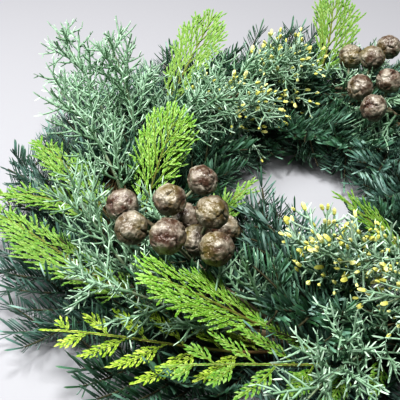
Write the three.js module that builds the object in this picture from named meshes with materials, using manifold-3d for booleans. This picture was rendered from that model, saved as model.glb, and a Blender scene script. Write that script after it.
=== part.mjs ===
// A fresh evergreen wreath, lying flat. Sprays of fir, grey cypress, golden false cypress and
// budded cypress are laid clockwise on a straw ring, in turns, and one binding wire winds over
// their stems. Two branches of round cypress cones sit on top, opposite each other.
// Units are millimetres and degrees. +Z is up, through the hole of the wreath.
import * as THREE from 'three';
import Module from 'manifold-3d';

const wasm = await Module();
wasm.setup();

// Driving dimensions: the straw ring and its binding.
const RING_RADIUS = 150;          // from the wreath's middle to the middle of the straw
const STRAW_RADIUS = 16;          // half the straw's thickness between two turns of wire
const WAIST_DEPTH = 2;            // how far the wire pulls the straw in
const STRAW_SIDES = 8;
const TURNS = 12;                 // turns of wire, each over the stems of one bunch
const WIRE_RADIUS = 0.6;
const STEM_RADIUS = 1.7;          // where a stem lies on the straw
const GAP = 0.35;                 // between pieces that touch on the real wreath
const FLOOR_GAP = 1.2;            // foliage stays this far above the table
const HOLE_RADIUS = 47;           // foliage stays outside this
const CUT_LENGTH = 7;             // of a stem, behind its turn of wire
const CUT_LIFT = 1.6;             // of the stem's cut end, off the straw
const LIFT = 24;                  // how steeply a stem leaves the straw, unless it says else
const ARCH = 8;                   // how much a spray bows up before its tip, unless it says else

// Driving dimensions: the greenery.
// A shoot is made in steps of one pitch, each bare at first and leafy after that. leafFrom is
// the share of a spray's stem that has no leaves, leaf and root the length of a leaf and the
// radius of its root, spread its angle to the shoot, core the radius of the shoot, fill the
// share of the places for leaves that have one, and shoot the length of the longest side shoot.
const FIR = {
  leafFrom: 0.1, pitch: 9, bare: 0, leaf: 21, root: 3.4, spread: 52, core: 1.25, fill: 0.7,
  shoot: 34,
};
const CYPRESS = {
  leafFrom: 0.16, pitch: 17, bare: 10, leaf: 16, root: 3, spread: 42, core: 0.9, fill: 0.55,
  shoot: 38,
};
const FROND = {
  leafFrom: 0.2, pitch: 12, bare: 0, leaf: 23, root: 4.8, spread: 40, core: 1, shoot: 36,
};
const LEAFY_END = 0.93;           // share of a spray's stem where its last leaf grows
const LEAF_TIP = 0.15;            // radius, for keeping clear
const LEAF_GAP = 0.6;             // between a leaf and what it keeps clear of
const BUD_RADIUS = 1.9;
const CONE_SIZE = 27;             // a cypress cone, across
const STALK_RADIUS = 1.2;         // of a cone

const STEM_STEPS = 12;            // for keeping a stem's way free
const ROOT_SHARE = 0.35;          // of a leaf, where it may lie against its own stem
const LEAF_TURNS = [              // sideways, and degrees further from the shoot
  [0, 0], [0.35, 0], [-0.35, 0], [0.7, 0], [0, 15], [0, -12], [0.35, 15], [-0.35, 15], [0, 30],
];
const MIN_WEDGE = 6;              // degrees between two faces that meet at an edge
const MIN_HEIGHT = 0.25;          // of the triangles of a leaf
const SEEDS = { firs: 11, cones: 70, sprays: 100 };
const UP = new THREE.Vector3(0, 0, 1);
const TURN_STEP = 360 / TURNS;
const rad = THREE.MathUtils.degToRad;
const vec = (x, y, z) => new THREE.Vector3(x, y, z);

// A seeded source of even random numbers from 0 to 1, so that each build is the same.
function randomSource(seed) {
  let state = seed * 2654435761 >>> 0;
  return () => {
    state = (state + 0x6d2b79f5) >>> 0;
    let mixed = Math.imul(state ^ (state >>> 15), 1 | state);
    mixed = (mixed + Math.imul(mixed ^ (mixed >>> 7), 61 | mixed)) ^ mixed;
    return ((mixed ^ (mixed >>> 14)) >>> 0) / 4294967296;
  };
}

// A point by its angle round the wreath, distance from the middle and height.
function polar(angle, radius, height) {
  return vec(radius * Math.cos(rad(angle)), radius * Math.sin(rad(angle)), height);
}

// Outward direction at a place round the straw: slot 0 is the outside, 90 the top, 180 the inside.
function strawNormal(angle, slot) {
  return polar(angle, Math.cos(rad(slot)), Math.sin(rad(slot)));
}

function strawPoint(angle, slot, distance) {
  const out = strawNormal(angle, slot).multiplyScalar(distance);
  return polar(angle, RING_RADIUS, STRAW_RADIUS).add(out);
}

// The way the sprays are laid: clockwise, seen from above.
const clockwise = (angle) => vec(Math.sin(rad(angle)), -Math.cos(rad(angle)), 0);

// From the middle of the straw's section to its faceted surface, at a waist.
function waistReach(slot) {
  const side = 360 / STRAW_SIDES;
  const offFace = ((slot % side) + side + side / 2) % side - side / 2;
  return (STRAW_RADIUS - WAIST_DEPTH) / Math.cos(rad(offFace));
}

// The angle through the open air from one face to the next at the edge that they share.
function wedge([start, end, corner], neighbour) {
  const along = end.clone().sub(start).normalize();
  const away = (point) => {
    const across = point.clone().sub(start);
    return across.addScaledVector(along, -across.dot(along)).normalize();
  };
  const own = away(corner);
  const other = away(neighbour);
  const turned = Math.atan2(along.cross(own).dot(other), own.dot(other));
  return THREE.MathUtils.radToDeg(turned < 0 ? turned + 2 * Math.PI : turned);
}

// Whether a stretch from p to q passes through a triangle's inside.
function pierces(p, q, [a, b, c]) {
  const normal = b.clone().sub(a).cross(c.clone().sub(a));
  const above = normal.dot(p.clone().sub(a));
  const below = normal.dot(q.clone().sub(a));
  const slack = normal.length() * 1e-5;
  if ((above > slack) === (below > slack) || (above < -slack) === (below < -slack)) {
    return false;
  }
  const place = p.clone().lerp(q, above / (above - below));
  const inside = (u, v) => v.clone().sub(u).cross(place.clone().sub(u)).dot(normal) > 0;
  return inside(a, b) && inside(b, c) && inside(c, a);
}

// Whether two triangles cross, or fold almost shut at an edge that they share.
function clash(one, two) {
  for (const k of [0, 1, 2]) {
    const [start, end, corner] = [one[k], one[(k + 1) % 3], one[(k + 2) % 3]];
    const far = two.find((point, j) => two[(j + 1) % 3] === end && two[(j + 2) % 3] === start);
    if (far) {
      const air = wedge([start, end, corner], far);
      return air < MIN_WEDGE || air > 360 - MIN_WEDGE;
    }
  }
  return [0, 1, 2].some((k) => (
    pierces(one[k], one[(k + 1) % 3], two) || pierces(two[k], two[(k + 1) % 3], one)));
}

// Whether a triangle is too flat to make.
function isSliver([a, b, c]) {
  const longest = Math.max(a.distanceTo(b), b.distanceTo(c), c.distanceTo(a));
  return b.clone().sub(a).cross(c.clone().sub(a)).length() / longest < MIN_HEIGHT;
}

// A closed skin of triangles that grows where a face is drawn out. A face is a ring of three
// point numbers, counterclockwise from outside.
class Skin {
  constructor() {
    this.points = [];
    this.faces = new Map();
  }

  add(point) {
    this.points.push(point.clone());
    return this.points.length - 1;
  }

  placed(face) {
    return face.map((corner) => this.points[corner]);
  }

  // Lays a ring of points as a fan of faces.
  lay(ring) {
    return ring.slice(2).map((corner, k) => {
      const face = [ring[0], ring[k + 1], corner];
      this.faces.set(face, new THREE.Box3().setFromPoints(this.placed(face)));
      return face;
    });
  }

  // Draws a face out to a tip, or to a new ring, and returns the new side faces and the end.
  draw(face, ring) {
    this.faces.delete(face);
    const end = ring.map((point) => this.add(point));
    const sides = face.flatMap((corner, k) => {
      const after = (k + 1) % face.length;
      return end.length === 1 ? this.lay([corner, face[after], end[0]])
        : this.lay([corner, face[after], end[after], end[k]]);
    });
    return { sides, end: end.length > 1 ? this.lay(end)[0] : null };
  }

  // Whether a face can be drawn out through these rings and keep clear of the whole skin.
  canDraw(face, rings) {
    let lower = this.placed(face);
    const grown = rings.flatMap((ring) => {
      const sides = lower.flatMap((corner, k) => {
        const after = (k + 1) % 3;
        return ring.length === 1 ? [[corner, lower[after], ring[0]]]
          : [[corner, lower[after], ring[after]], [corner, ring[after], ring[k]]];
      });
      lower = ring;
      return sides;
    });
    const others = [...this.faces].filter(([other]) => other !== face)
      .map(([other, box]) => ({ box, triangle: this.placed(other) }));
    return grown.every((one, k) => {
      const room = new THREE.Box3().setFromPoints(one);
      return !isSliver(one) && !grown.slice(k + 1).some((two) => clash(one, two))
        && !others.some(({ box, triangle }) => room.intersectsBox(box) && clash(one, triangle));
    });
  }

  middle(face) {
    const sum = this.placed(face).reduce((total, point) => total.add(point), vec(0, 0, 0));
    return sum.divideScalar(face.length);
  }

  normal(face) {
    const [a, b, c] = this.placed(face);
    return b.clone().sub(a).cross(c.clone().sub(a)).normalize();
  }

  geometry() {
    const geometry = new THREE.BufferGeometry();
    const flat = this.points.flatMap((point) => point.toArray());
    geometry.setAttribute('position', new THREE.Float32BufferAttribute(flat, 3));
    geometry.setIndex([...this.faces.keys()].flat());
    return geometry;
  }

  solid() {
    const vertProperties = new Float32Array(this.points.flatMap((point) => point.toArray()));
    const triVerts = new Uint32Array([...this.faces.keys()].flat());
    return new wasm.Manifold(new wasm.Mesh({ numProp: 3, vertProperties, triVerts }));
  }
}

// Every stick of foliage laid so far, tapered from one radius to another, to keep others clear.
const sticks = [];

function stick(start, end, startRadius, endRadius, owner) {
  const box = new THREE.Box3().setFromPoints([start, end]);
  return { start, end, startRadius, endRadius, owner, box };
}

function layStick(...measures) {
  const whole = stick(...measures);
  sticks.push({ ...whole, outer: outerPart(whole) });
}

// Shortest gap between two sticks.
function stickGap(one, two) {
  const d1 = one.end.clone().sub(one.start);
  const d2 = two.end.clone().sub(two.start);
  const between = one.start.clone().sub(two.start);
  const a = d1.dot(d1);
  const e = d2.dot(d2);
  const b = d1.dot(d2);
  const c = d1.dot(between);
  const f = d2.dot(between);
  const denominator = a * e - b * b;
  let s = denominator > 1e-9 ? THREE.MathUtils.clamp((b * f - c * e) / denominator, 0, 1) : 0;
  let t = (b * s + f) / e;
  if (t < 0 || t > 1) {
    t = THREE.MathUtils.clamp(t, 0, 1);
    s = THREE.MathUtils.clamp((b * t - c) / a, 0, 1);
  }
  const p = one.start.clone().addScaledVector(d1, s);
  const q = two.start.clone().addScaledVector(d2, t);
  const reach = THREE.MathUtils.lerp(one.startRadius, one.endRadius, s)
    + THREE.MathUtils.lerp(two.startRadius, two.endRadius, t);
  return p.distanceTo(q) - reach;
}

// The outer part of a leaf, which is what must miss the leaves that grow beside it. It counts
// as slim, because the broad roots of neighbours lie along the stem side by side.
function outerPart({ start, end, startRadius, endRadius, owner }) {
  const from = start.clone().lerp(end, ROOT_SHARE);
  const radius = THREE.MathUtils.lerp(startRadius, endRadius, ROOT_SHARE) / 2;
  return stick(from, end, radius, endRadius, owner);
}

// Whether a stick misses the table, the hole, the straw, all foliage of other pieces and, past
// its own root, the foliage of its own piece.
function isClear(whole, gap = LEAF_GAP) {
  const { start, end, endRadius, owner } = whole;
  if (end.z < FLOOR_GAP + endRadius || Math.hypot(end.x, end.y) < HOLE_RADIUS) {
    return false;
  }
  const strawReach = STRAW_RADIUS / Math.cos(Math.PI / STRAW_SIDES) + 1;
  for (const share of [ROOT_SHARE, 2 * ROOT_SHARE, 1]) {
    const point = start.clone().lerp(end, share);
    const sideways = Math.hypot(point.x, point.y) - RING_RADIUS;
    if (Math.hypot(sideways, point.z - STRAW_RADIUS) < strawReach) {
      return false;
    }
  }
  const outer = outerPart(whole);
  const room = whole.box.clone().expandByScalar(8);
  return !sticks.some((other) => room.intersectsBox(other.box)
    && (other.owner === owner ? stickGap(outer, other.outer) : stickGap(whole, other)) < gap);
}

// Three points round a centre, square to the way ahead. The first lies towards the side given.
function triad(centre, ahead, side, radius) {
  const first = side.clone().addScaledVector(ahead, -side.dot(ahead)).normalize();
  const second = ahead.clone().cross(first);
  return [0, 120, 240].map((angle) => centre.clone()
    .addScaledVector(first, radius * Math.cos(rad(angle)))
    .addScaledVector(second, radius * Math.sin(rad(angle))));
}

// The stations of a three-sided shoot along a path from a face.
function shootStations(skin, face, path, radii, side) {
  let before = skin.middle(face);
  let faceSide = side ?? skin.points[face[0]].clone().sub(before);
  return path.map((centre, k) => {
    const ahead = (path[k + 1] ?? centre).clone().sub(before).normalize();
    const ring = triad(centre, ahead, faceSide, radii[k]);
    const station = { before, centre, ahead, ring, radius: radii[k] };
    before = centre;
    faceSide = ring[0].clone().sub(centre);
    return station;
  });
}

// Grows a shoot through its stations, which then know their side faces.
function growShoot(skin, face, stations, owner) {
  let end = face;
  stations.forEach((station, k) => {
    const grown = skin.draw(end, station.ring);
    station.sides = grown.sides;
    const startRadius = stations[Math.max(k - 1, 0)].radius;
    layStick(station.before.clone(), station.centre.clone(), startRadius, station.radius, owner);
    end = grown.end;
  });
  return { stations, end };
}

// A shoot's first face, on a flat cut end.
function cutEnd(skin, centre, ahead, side, radius) {
  const ring = triad(centre, ahead, side, radius).map((point) => skin.add(point));
  skin.lay([ring[2], ring[1], ring[0]]);
  return skin.lay(ring)[0];
}

// Points at even steps along a curve, from one share of its length to another.
function pointsAlong(curve, from, to, pitch) {
  const count = Math.max(2, Math.round(curve.getLength() * (to - from) / pitch));
  return Array.from({ length: count }, (_, k) => (
    curve.getPointAt(THREE.MathUtils.lerp(from, to, (k + 1) / count))));
}

// Plans a leafy shoot: each step has a stretch that bears leaves, after a bare one if its kind
// has bare stretches.
function leafyStations(skin, face, pointAt, length, kind, radii, side) {
  const count = Math.max(1, Math.round(length / kind.pitch));
  const step = length / count;
  const starts = Array.from({ length: count }, (_, k) => step * k);
  const path = starts.flatMap((start) => (kind.bare > 0
    ? [pointAt(start + kind.bare), pointAt(start + step)] : [pointAt(start + step)]));
  const thick = path.map((_, k) => THREE.MathUtils.lerp(radii[0], radii[1], k / path.length));
  const stations = shootStations(skin, face, path, thick, side);
  stations.forEach((station, k) => {
    station.bears = kind.bare === 0 || k % 2 === 1;
  });
  return stations;
}

const tipAhead = ({ centre, ahead }, length) => centre.clone().addScaledVector(ahead, length);

// The leafy main shoot of a spray, from the end of its bare stem to its tip.
function growMainShoot(skin, face, spray, path, kind, side, tipLength) {
  const length = path.curve.getLength() * (LEAFY_END - kind.leafFrom);
  const pointAt = (along) => path.curve.getPointAt(
    THREE.MathUtils.lerp(kind.leafFrom, LEAFY_END, along / length));
  const radii = [kind.core, kind.core * 0.7];
  const stations = leafyStations(skin, face, pointAt, length, kind, radii, side);
  const shoot = growShoot(skin, face, stations, spray.name);
  skin.draw(shoot.end, [tipAhead(stations.at(-1), tipLength)]);
  return stations;
}

// The path of a spray: tied down at its turn of wire, it leaves the straw and bends to its tip.
function sprayPath(spray) {
  const seat = waistReach(spray.slot) + GAP + STEM_RADIUS;
  const tie = strawPoint(spray.turn, spray.slot, seat);
  const normal = strawNormal(spray.turn, spray.slot);
  const lay = clockwise(spray.turn);
  const cut = tie.clone().addScaledVector(lay, -CUT_LENGTH).addScaledVector(normal, CUT_LIFT);
  const tip = polar(spray.tip[0], spray.tip[1], spray.tip[2]);
  const reach = tie.distanceTo(tip);
  const lift = rad(spray.lift ?? LIFT);
  const leave = tie.clone()
    .addScaledVector(lay, reach * 0.3 * Math.cos(lift))
    .addScaledVector(normal, reach * 0.3 * Math.sin(lift));
  const bend = leave.clone().lerp(tip, 0.55).addScaledVector(UP, spray.arch ?? ARCH);
  return { cut, tie, curve: new THREE.CubicBezierCurve3(tie, leave, bend, tip) };
}

// The tied stem of a spray, up to the share of its curve where the leaves start.
function growStem(skin, spray, path, side, leafy, core) {
  const ahead = path.tie.clone().sub(path.cut).normalize();
  const foot = cutEnd(skin, path.cut, ahead, side, STEM_RADIUS);
  const bare = pointsAlong(path.curve, 0, leafy, 16);
  const radii = [STEM_RADIUS, ...bare.map((_, k) => THREE.MathUtils.lerp(STEM_RADIUS, core,
    (k + 1) / bare.length))];
  const stations = shootStations(skin, foot, [path.tie, ...bare], radii, side);
  return growShoot(skin, foot, stations, spray.name).end;
}

// Keeps the way of a spray's main stem free, before any leaves grow.
function reserveStem(spray) {
  const path = sprayPath(spray);
  const line = [path.cut, ...path.curve.getSpacedPoints(STEM_STEPS)];
  line.slice(1).forEach((point, k) => (
    layStick(line[k], point, STEM_RADIUS, STEM_RADIUS, spray.name)));
}

// A station's faces that have grown nothing yet.
const freeFaces = (skin, station) => station.sides.filter((face) => skin.faces.has(face));

// Draws one leaf out of a face if its way is clear, trying a few turns of it.
function growLeaf(skin, face, directions, length, kind, owner, bud = false) {
  const start = skin.middle(face);
  const side = skin.points[face[0]].clone().sub(start);
  const tipRadius = bud ? BUD_RADIUS : LEAF_TIP;
  for (const direction of directions) {
    const tip = start.clone().addScaledVector(direction, length);
    const waist = start.clone().lerp(tip, 0.75);
    const rings = [...(bud ? [triad(waist, direction, side, BUD_RADIUS)] : []), [tip]];
    if (skin.canDraw(face, rings) && isClear(stick(start, tip, kind.root, tipRadius, owner))) {
      layStick(start, tip, kind.root, tipRadius, owner);
      rings.reduce((end, ring) => skin.draw(end, ring).end, face);
      return;
    }
  }
}

// Directions to try for a leaf: ahead and outwards, then turned a little to either side, and
// then closer to the shoot or further from it.
function leafDirections(ahead, outward, spread, random) {
  const side = ahead.clone().cross(outward).normalize();
  const stray = 0.2 * (random() - 0.5);
  return LEAF_TURNS.map(([turn, lean]) => ahead.clone()
    .multiplyScalar(Math.cos(rad(spread + lean)))
    .addScaledVector(outward, Math.sin(rad(spread + lean)))
    .addScaledVector(side, turn + stray)
    .normalize());
}

function sidewaysPart(normal, ahead) {
  return normal.clone().addScaledVector(ahead, -normal.dot(ahead)).normalize();
}

// The way out from a shoot's middle line, through the middle of one of its faces.
function outwardOf(skin, station, face) {
  const fromLine = skin.middle(face).sub(station.centre);
  return sidewaysPart(fromLine, station.ahead);
}

// Grows a side shoot out of a station, from the free face that looks most its way and has
// room. It is tried shorter once before it is left out.
function growSideShoot(skin, station, towards, kind, length, owner) {
  const direction = station.ahead.clone().multiplyScalar(Math.cos(rad(kind.spread)))
    .addScaledVector(towards, Math.sin(rad(kind.spread))).normalize();
  const start = station.centre.clone();
  const pointAt = (along) => start.clone().addScaledVector(direction, along);
  const facing = (face) => skin.normal(face).dot(towards);
  const faces = freeFaces(skin, station).sort((one, two) => facing(two) - facing(one));
  for (const share of [1, 0.65]) {
    const leafy = length * share * 0.8;
    const radii = [kind.core * 0.85, kind.core * 0.7];
    for (const face of faces.slice(0, 2)) {
      const stations = leafyStations(skin, face, pointAt, leafy, kind, radii, null);
      const tip = tipAhead(stations.at(-1), length * share - leafy);
      const whole = stick(start, pointAt(length * share), kind.core + 0.4, kind.core, owner);
      const rings = [...stations.map(({ ring }) => ring), [tip]];
      if (isClear(whole, 2 * LEAF_GAP) && skin.canDraw(face, rings)) {
        skin.draw(growShoot(skin, face, stations, owner).end, [tip]);
        return [stations];
      }
    }
  }
  return [];
}

// Gives each free face of the leafy stations of a shoot to a function.
function visitLeafy(skin, stations, visit) {
  stations.forEach((station, k) => {
    if (station.bears) {
      freeFaces(skin, station).forEach((face) => visit(station, face, k / stations.length));
    }
  });
}

const leftOf = (station, above) => above.clone().cross(station.ahead).normalize();

// A spray of fir: a stem with side shoots, and needles on all sides that sweep ahead and up.
function growFir(spray, random) {
  const skin = new Skin();
  const path = sprayPath(spray);
  const normal = strawNormal(spray.turn, spray.slot);
  const end = growStem(skin, spray, path, normal, FIR.leafFrom, FIR.core);
  const main = growMainShoot(skin, end, spray, path, FIR, null, FIR.leaf * 0.5);
  const sides = [1, -1, 1].flatMap((way, k) => {
    const station = main[1 + 2 * k];
    const towards = leftOf(station, UP).multiplyScalar(way).addScaledVector(UP, 0.3 + random());
    const length = FIR.shoot - 5 * k;
    return growSideShoot(skin, station, sidewaysPart(towards, station.ahead), FIR, length,
      spray.name);
  });
  [main, ...sides].forEach((shoot) => visitLeafy(skin, shoot, (station, face, share) => {
    const length = FIR.leaf * (0.85 + 0.25 * random()) * (1 - 0.2 * share);
    const outward = outwardOf(skin, station, face).addScaledVector(UP, 0.3).normalize();
    const spread = THREE.MathUtils.lerp(FIR.spread + 8, FIR.spread - 20, share)
      + 16 * (random() - 0.5);
    const tries = leafDirections(station.ahead, outward, spread, random);
    if (random() < FIR.fill) {
      growLeaf(skin, face, tries, length, FIR, spray.name);
    }
  }));
  return skin;
}

// A spray of grey cypress: a stem with side shoots all round, each set with thin threads. The
// budded kind carries a small yellow bud on the end of many of its threads.
function growCypress(spray, random) {
  const skin = new Skin();
  const path = sprayPath(spray);
  const normal = strawNormal(spray.turn, spray.slot);
  const end = growStem(skin, spray, path, normal, CYPRESS.leafFrom, CYPRESS.core);
  const main = growMainShoot(skin, end, spray, path, CYPRESS, null, CYPRESS.leaf);
  const bearing = main.filter((station) => station.bears);
  const sides = bearing.flatMap((station, k) => {
    const around = leftOf(station, UP).applyAxisAngle(station.ahead, -rad(k * 137.5 % 200 - 10));
    const length = THREE.MathUtils.lerp(CYPRESS.shoot, 20, k / bearing.length);
    return growSideShoot(skin, station, sidewaysPart(around, station.ahead),
      { ...CYPRESS, pitch: length }, length, spray.name);
  });
  [main, ...sides].forEach((shoot, order) => visitLeafy(skin, shoot, (station, face) => {
    const length = CYPRESS.leaf * (0.8 + 0.5 * random());
    const outward = outwardOf(skin, station, face);
    const tries = leafDirections(station.ahead, outward, CYPRESS.spread, random);
    const bud = spray.budded && order > 0 && random() < 0.5;
    if (random() < CYPRESS.fill) {
      growLeaf(skin, face, tries, length, CYPRESS, spray.name, bud);
    }
  }));
  return skin;
}

// A frond of golden false cypress: flat, with branchlets to the left and right in its plane.
function growFrond(spray, random) {
  const skin = new Skin();
  const path = sprayPath(spray);
  const end = growStem(skin, spray, path, UP, FROND.leafFrom, FROND.core);
  const main = growMainShoot(skin, end, spray, path, FROND, UP, FROND.leaf * 0.6);
  const sides = main.flatMap((station, k) => {
    const share = k / main.length;
    return (k % 2 === 0 && share < 0.6 ? [1, -1] : []).flatMap((way) => {
      const towards = leftOf(station, UP).multiplyScalar(way).addScaledVector(UP, 0.12);
      const length = THREE.MathUtils.lerp(FROND.shoot, FROND.leaf, share);
      return growSideShoot(skin, station, sidewaysPart(towards, station.ahead),
        { ...FROND, pitch: length }, length, spray.name);
    });
  });
  [main, ...sides].forEach((shoot, order) => visitLeafy(skin, shoot, (station, face, share) => {
    const left = leftOf(station, UP);
    const turned = outwardOf(skin, station, face).dot(left);
    const full = order === 0 ? FROND.leaf : FROND.leaf / 2;
    const length = full * (1.1 - 0.5 * share) * (0.9 + 0.2 * random());
    const outward = left.multiplyScalar(Math.sign(turned)).addScaledVector(UP, 0.1);
    const tries = leafDirections(station.ahead, sidewaysPart(outward, station.ahead),
      FROND.spread, random);
    if (Math.abs(turned) > 0.4) {
      growLeaf(skin, face, tries, length, FROND, spray.name);
    }
  }));
  return skin;
}

// A cypress cone: twelve five-sided scales with grooves between, each rising to a low boss.
// The scales lie as on a dodecahedron, whose corners are where three grooves meet.
function coneSkin(centre, axis, random) {
  const skin = new Skin();
  const golden = (1 + Math.sqrt(5)) / 2;
  const cycle = (x, y, z) => [vec(x, y, z), vec(y, z, x), vec(z, x, y)];
  const signs = [[1, 1], [1, -1], [-1, 1], [-1, -1]];
  const scales = signs.flatMap(([a, b]) => cycle(0, a, b * golden)).map((v) => v.normalize());
  const corners = [
    ...signs.flatMap(([a, b]) => [vec(a, b, 1), vec(a, b, -1)]),
    ...signs.flatMap(([a, b]) => cycle(0, a * golden, b / golden)),
  ].map((v) => v.normalize());
  const radius = CONE_SIZE / 2;
  const turn = new THREE.Quaternion().setFromUnitVectors(UP, axis);
  const spin = new THREE.Quaternion().setFromAxisAngle(UP, random() * Math.PI);
  const squash = 0.94 + 0.1 * random();
  const place = (direction, reach) => {
    const point = direction.clone().applyQuaternion(spin).multiplyScalar(radius * reach);
    point.z *= squash;
    return point.applyQuaternion(turn).add(centre);
  };
  const grooves = corners.map((corner) => skin.add(place(corner, 0.86)));
  for (const scale of scales) {
    const near = corners.map((corner, k) => ({ corner, k }))
      .filter(({ corner }) => corner.dot(scale) > 0.7);
    const first = near[0].corner.clone().cross(scale).normalize();
    const second = scale.clone().cross(first);
    const angle = ({ corner }) => Math.atan2(corner.dot(second), corner.dot(first));
    near.sort((one, two) => angle(one) - angle(two));
    const rise = 0.95 + 0.05 * random();
    const rim = near.map(({ corner }) => place(corner.clone().lerp(scale, 0.3).normalize(), rise));
    skin.draw(near.map(({ k }) => grooves[k]), rim);
  }
  return skin;
}

// A branch of cypress cones: one tied stem, and a stalk from it to each cone.
function growConeBranch(branch, random) {
  const skin = new Skin();
  const path = sprayPath(branch);
  const normal = strawNormal(branch.turn, branch.slot);
  const bare = 0.15;
  const end = growStem(skin, branch, path, normal, bare, STEM_RADIUS);
  const line = pointsAlong(path.curve, bare, 1, 7);
  const radii = line.map(() => STEM_RADIUS - 0.1);
  const stations = shootStations(skin, end, line, radii, null);
  const shoot = growShoot(skin, end, stations, branch.name);
  skin.draw(shoot.end, [tipAhead(stations.at(-1), 6)]);
  const cones = branch.cones.map(([x, y, z]) => {
    const centre = vec(x, y, z);
    const nearest = [...stations].sort((one, two) => (
      one.centre.distanceTo(centre) - two.centre.distanceTo(centre)));
    const foot = nearest.flatMap((station) => freeFaces(skin, station)
      .sort((one, two) => skin.middle(one).distanceTo(centre) - skin.middle(two).distanceTo(centre))
      .map((face) => {
        const halfway = station.centre.clone().lerp(centre, 0.45);
        const [stalk] = shootStations(skin, face, [halfway, centre], [STALK_RADIUS, 0], null);
        return { face, station, stalk };
      })).find(({ face, stalk }) => skin.canDraw(face, [stalk.ring, [centre]]));
    const towards = centre.clone().sub(foot.station.centre);
    const stalk = growShoot(skin, foot.face, [foot.stalk], branch.name);
    skin.draw(stalk.end, [centre]);
    const axis = towards.normalize();
    const core = axis.clone().multiplyScalar(2);
    const reach = CONE_SIZE / 2;
    layStick(centre.clone().sub(core), centre.clone().add(core), reach, reach, branch.name);
    layStick(foot.station.centre.clone(), centre.clone(), STALK_RADIUS, STALK_RADIUS,
      branch.name);
    return coneSkin(centre, axis, random).solid();
  });
  return cones.reduce((whole, cone) => whole.add(cone), skin.solid());
}

// The straw ring: an eight-sided tube, waisted at each turn of wire. Its flat lower faces
// between the waists are what the wreath rests on.
function strawRing() {
  const skin = new Skin();
  const stations = [];
  for (let angle = 0; angle < 360; angle += TURN_STEP / 3) {
    const apothem = STRAW_RADIUS - (angle % TURN_STEP === 0 ? WAIST_DEPTH : 0);
    const side = 360 / STRAW_SIDES;
    const reach = apothem / Math.cos(rad(side / 2));
    stations.push(Array.from({ length: STRAW_SIDES }, (_, k) => skin.add(
      strawPoint(angle, side * (k + 0.5), reach))));
  }
  stations.forEach((ring, k) => {
    const next = stations[(k + 1) % stations.length];
    ring.forEach((corner, j) => {
      const after = (j + 1) % STRAW_SIDES;
      skin.lay([corner, next[j], next[after], ring[after]]);
    });
  });
  return skin;
}

// The binding wire: at each turn it goes once round the straw and over the stems there, and
// then crosses to the next turn low on the inside, where no stems lie.
function bindingWire() {
  const overStems = STRAW_RADIUS - WAIST_DEPTH + 2 * (GAP + STEM_RADIUS) + 2.3;
  const onStraw = STRAW_RADIUS + 0.2;
  const crossing = STRAW_RADIUS + GAP + 2 * WIRE_RADIUS;
  const loop = [
    [247.5, onStraw], [292.5, onStraw], [337.5, overStems], [22.5, overStems], [67.5, overStems],
    [112.5, overStems], [157.5, overStems], [202.5, overStems],
  ];
  const points = [];
  for (let turn = 0; turn < TURNS; turn += 1) {
    const angle = 360 - turn * TURN_STEP;
    loop.forEach(([slot, reach]) => points.push(strawPoint(angle, slot, reach)));
    points.push(strawPoint(angle - 8, 225, crossing), strawPoint(angle - 22, 225, crossing));
  }
  const skin = new Skin();
  const [first, second] = points;
  const ahead = second.clone().sub(first).normalize();
  const foot = cutEnd(skin, first, ahead, UP, WIRE_RADIUS);
  const radii = points.map(() => WIRE_RADIUS);
  growShoot(skin, foot, shootStations(skin, foot, points.slice(1), radii, null), 'binding_wire');
  return skin;
}

// Where each spray is tied and where its tip lies. turn is the angle of its turn of wire, slot
// its place round the straw, and tip its angle, distance from the middle and height. The half
// that the photograph hides repeats the other half's fronds and cypress, turned by 180 degrees.
const FRONDS = [
  { turn: -150, slot: 67, tip: [-176, 220, 58], arch: 10 },
  { turn: -150, slot: 45, tip: [-165, 247, 38] },
  { turn: -120, slot: 22, tip: [-161, 250, 36], arch: 17 },
  { turn: -150, slot: 157, tip: [180, 100, 92], arch: 4 },
  { turn: -90, slot: 67, tip: [-117, 192, 84], arch: 14 },
  { turn: -90, slot: 22, tip: [-127, 243, 46], arch: 11 },
  { turn: -60, slot: 22, tip: [-106, 226, 60], arch: 14 },
  { turn: 150, slot: 67, tip: [119, 204, 92] },
  { turn: 90, slot: 67, tip: [86, 210, 100], arch: 0, lift: 50 },
  { turn: -30, slot: 157, tip: [-60, 66, 70] },
  { turn: -120, slot: 180, tip: [-128, 54, 62], arch: 10 },
  { turn: 30, slot: 67, tip: [4, 220, 58], arch: 10 },
  { turn: 30, slot: 45, tip: [15, 244, 38] },
  { turn: 60, slot: 22, tip: [19, 248, 36], arch: 14 },
];

const CYPRESSES = [
  { turn: 180, slot: 67, tip: [160, 242, 108] },
  { turn: 180, slot: 112, tip: [155, 200, 106] },
  { turn: -150, slot: 112, tip: [173, 214, 86], arch: 18 },
  { turn: 150, slot: 112, tip: [100, 108, 78], arch: 12 },
  { turn: 180, slot: 135, tip: [141, 86, 78], arch: 10 },
  { turn: -120, slot: 45, tip: [-154, 184, 74], arch: 6 },
  { turn: -90, slot: 45, tip: [-131, 214, 60], arch: 24 },
  { turn: -60, slot: 45, tip: [-85, 226, 62], arch: 12 },
  { turn: -30, slot: 45, tip: [-66, 210, 80], arch: 10 },
  { turn: 0, slot: 67, tip: [-20, 240, 100] },
  { turn: 0, slot: 112, tip: [-26, 198, 98] },
  { turn: 30, slot: 112, tip: [-7, 214, 84], arch: 18 },
  { turn: 90, slot: 22, tip: [50, 218, 60], arch: 20 },
];

const BUDDED = [
  { turn: 120, slot: 112, tip: [93, 125, 80] },
  { turn: 150, slot: 135, tip: [115, 73, 62] },
  { turn: -30, slot: 67, tip: [-70, 177, 84], arch: 10 },
  { turn: -30, slot: 112, tip: [-78, 146, 88], arch: 12 },
  { turn: -60, slot: 135, tip: [-83, 118, 86], arch: 4 },
];

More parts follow.
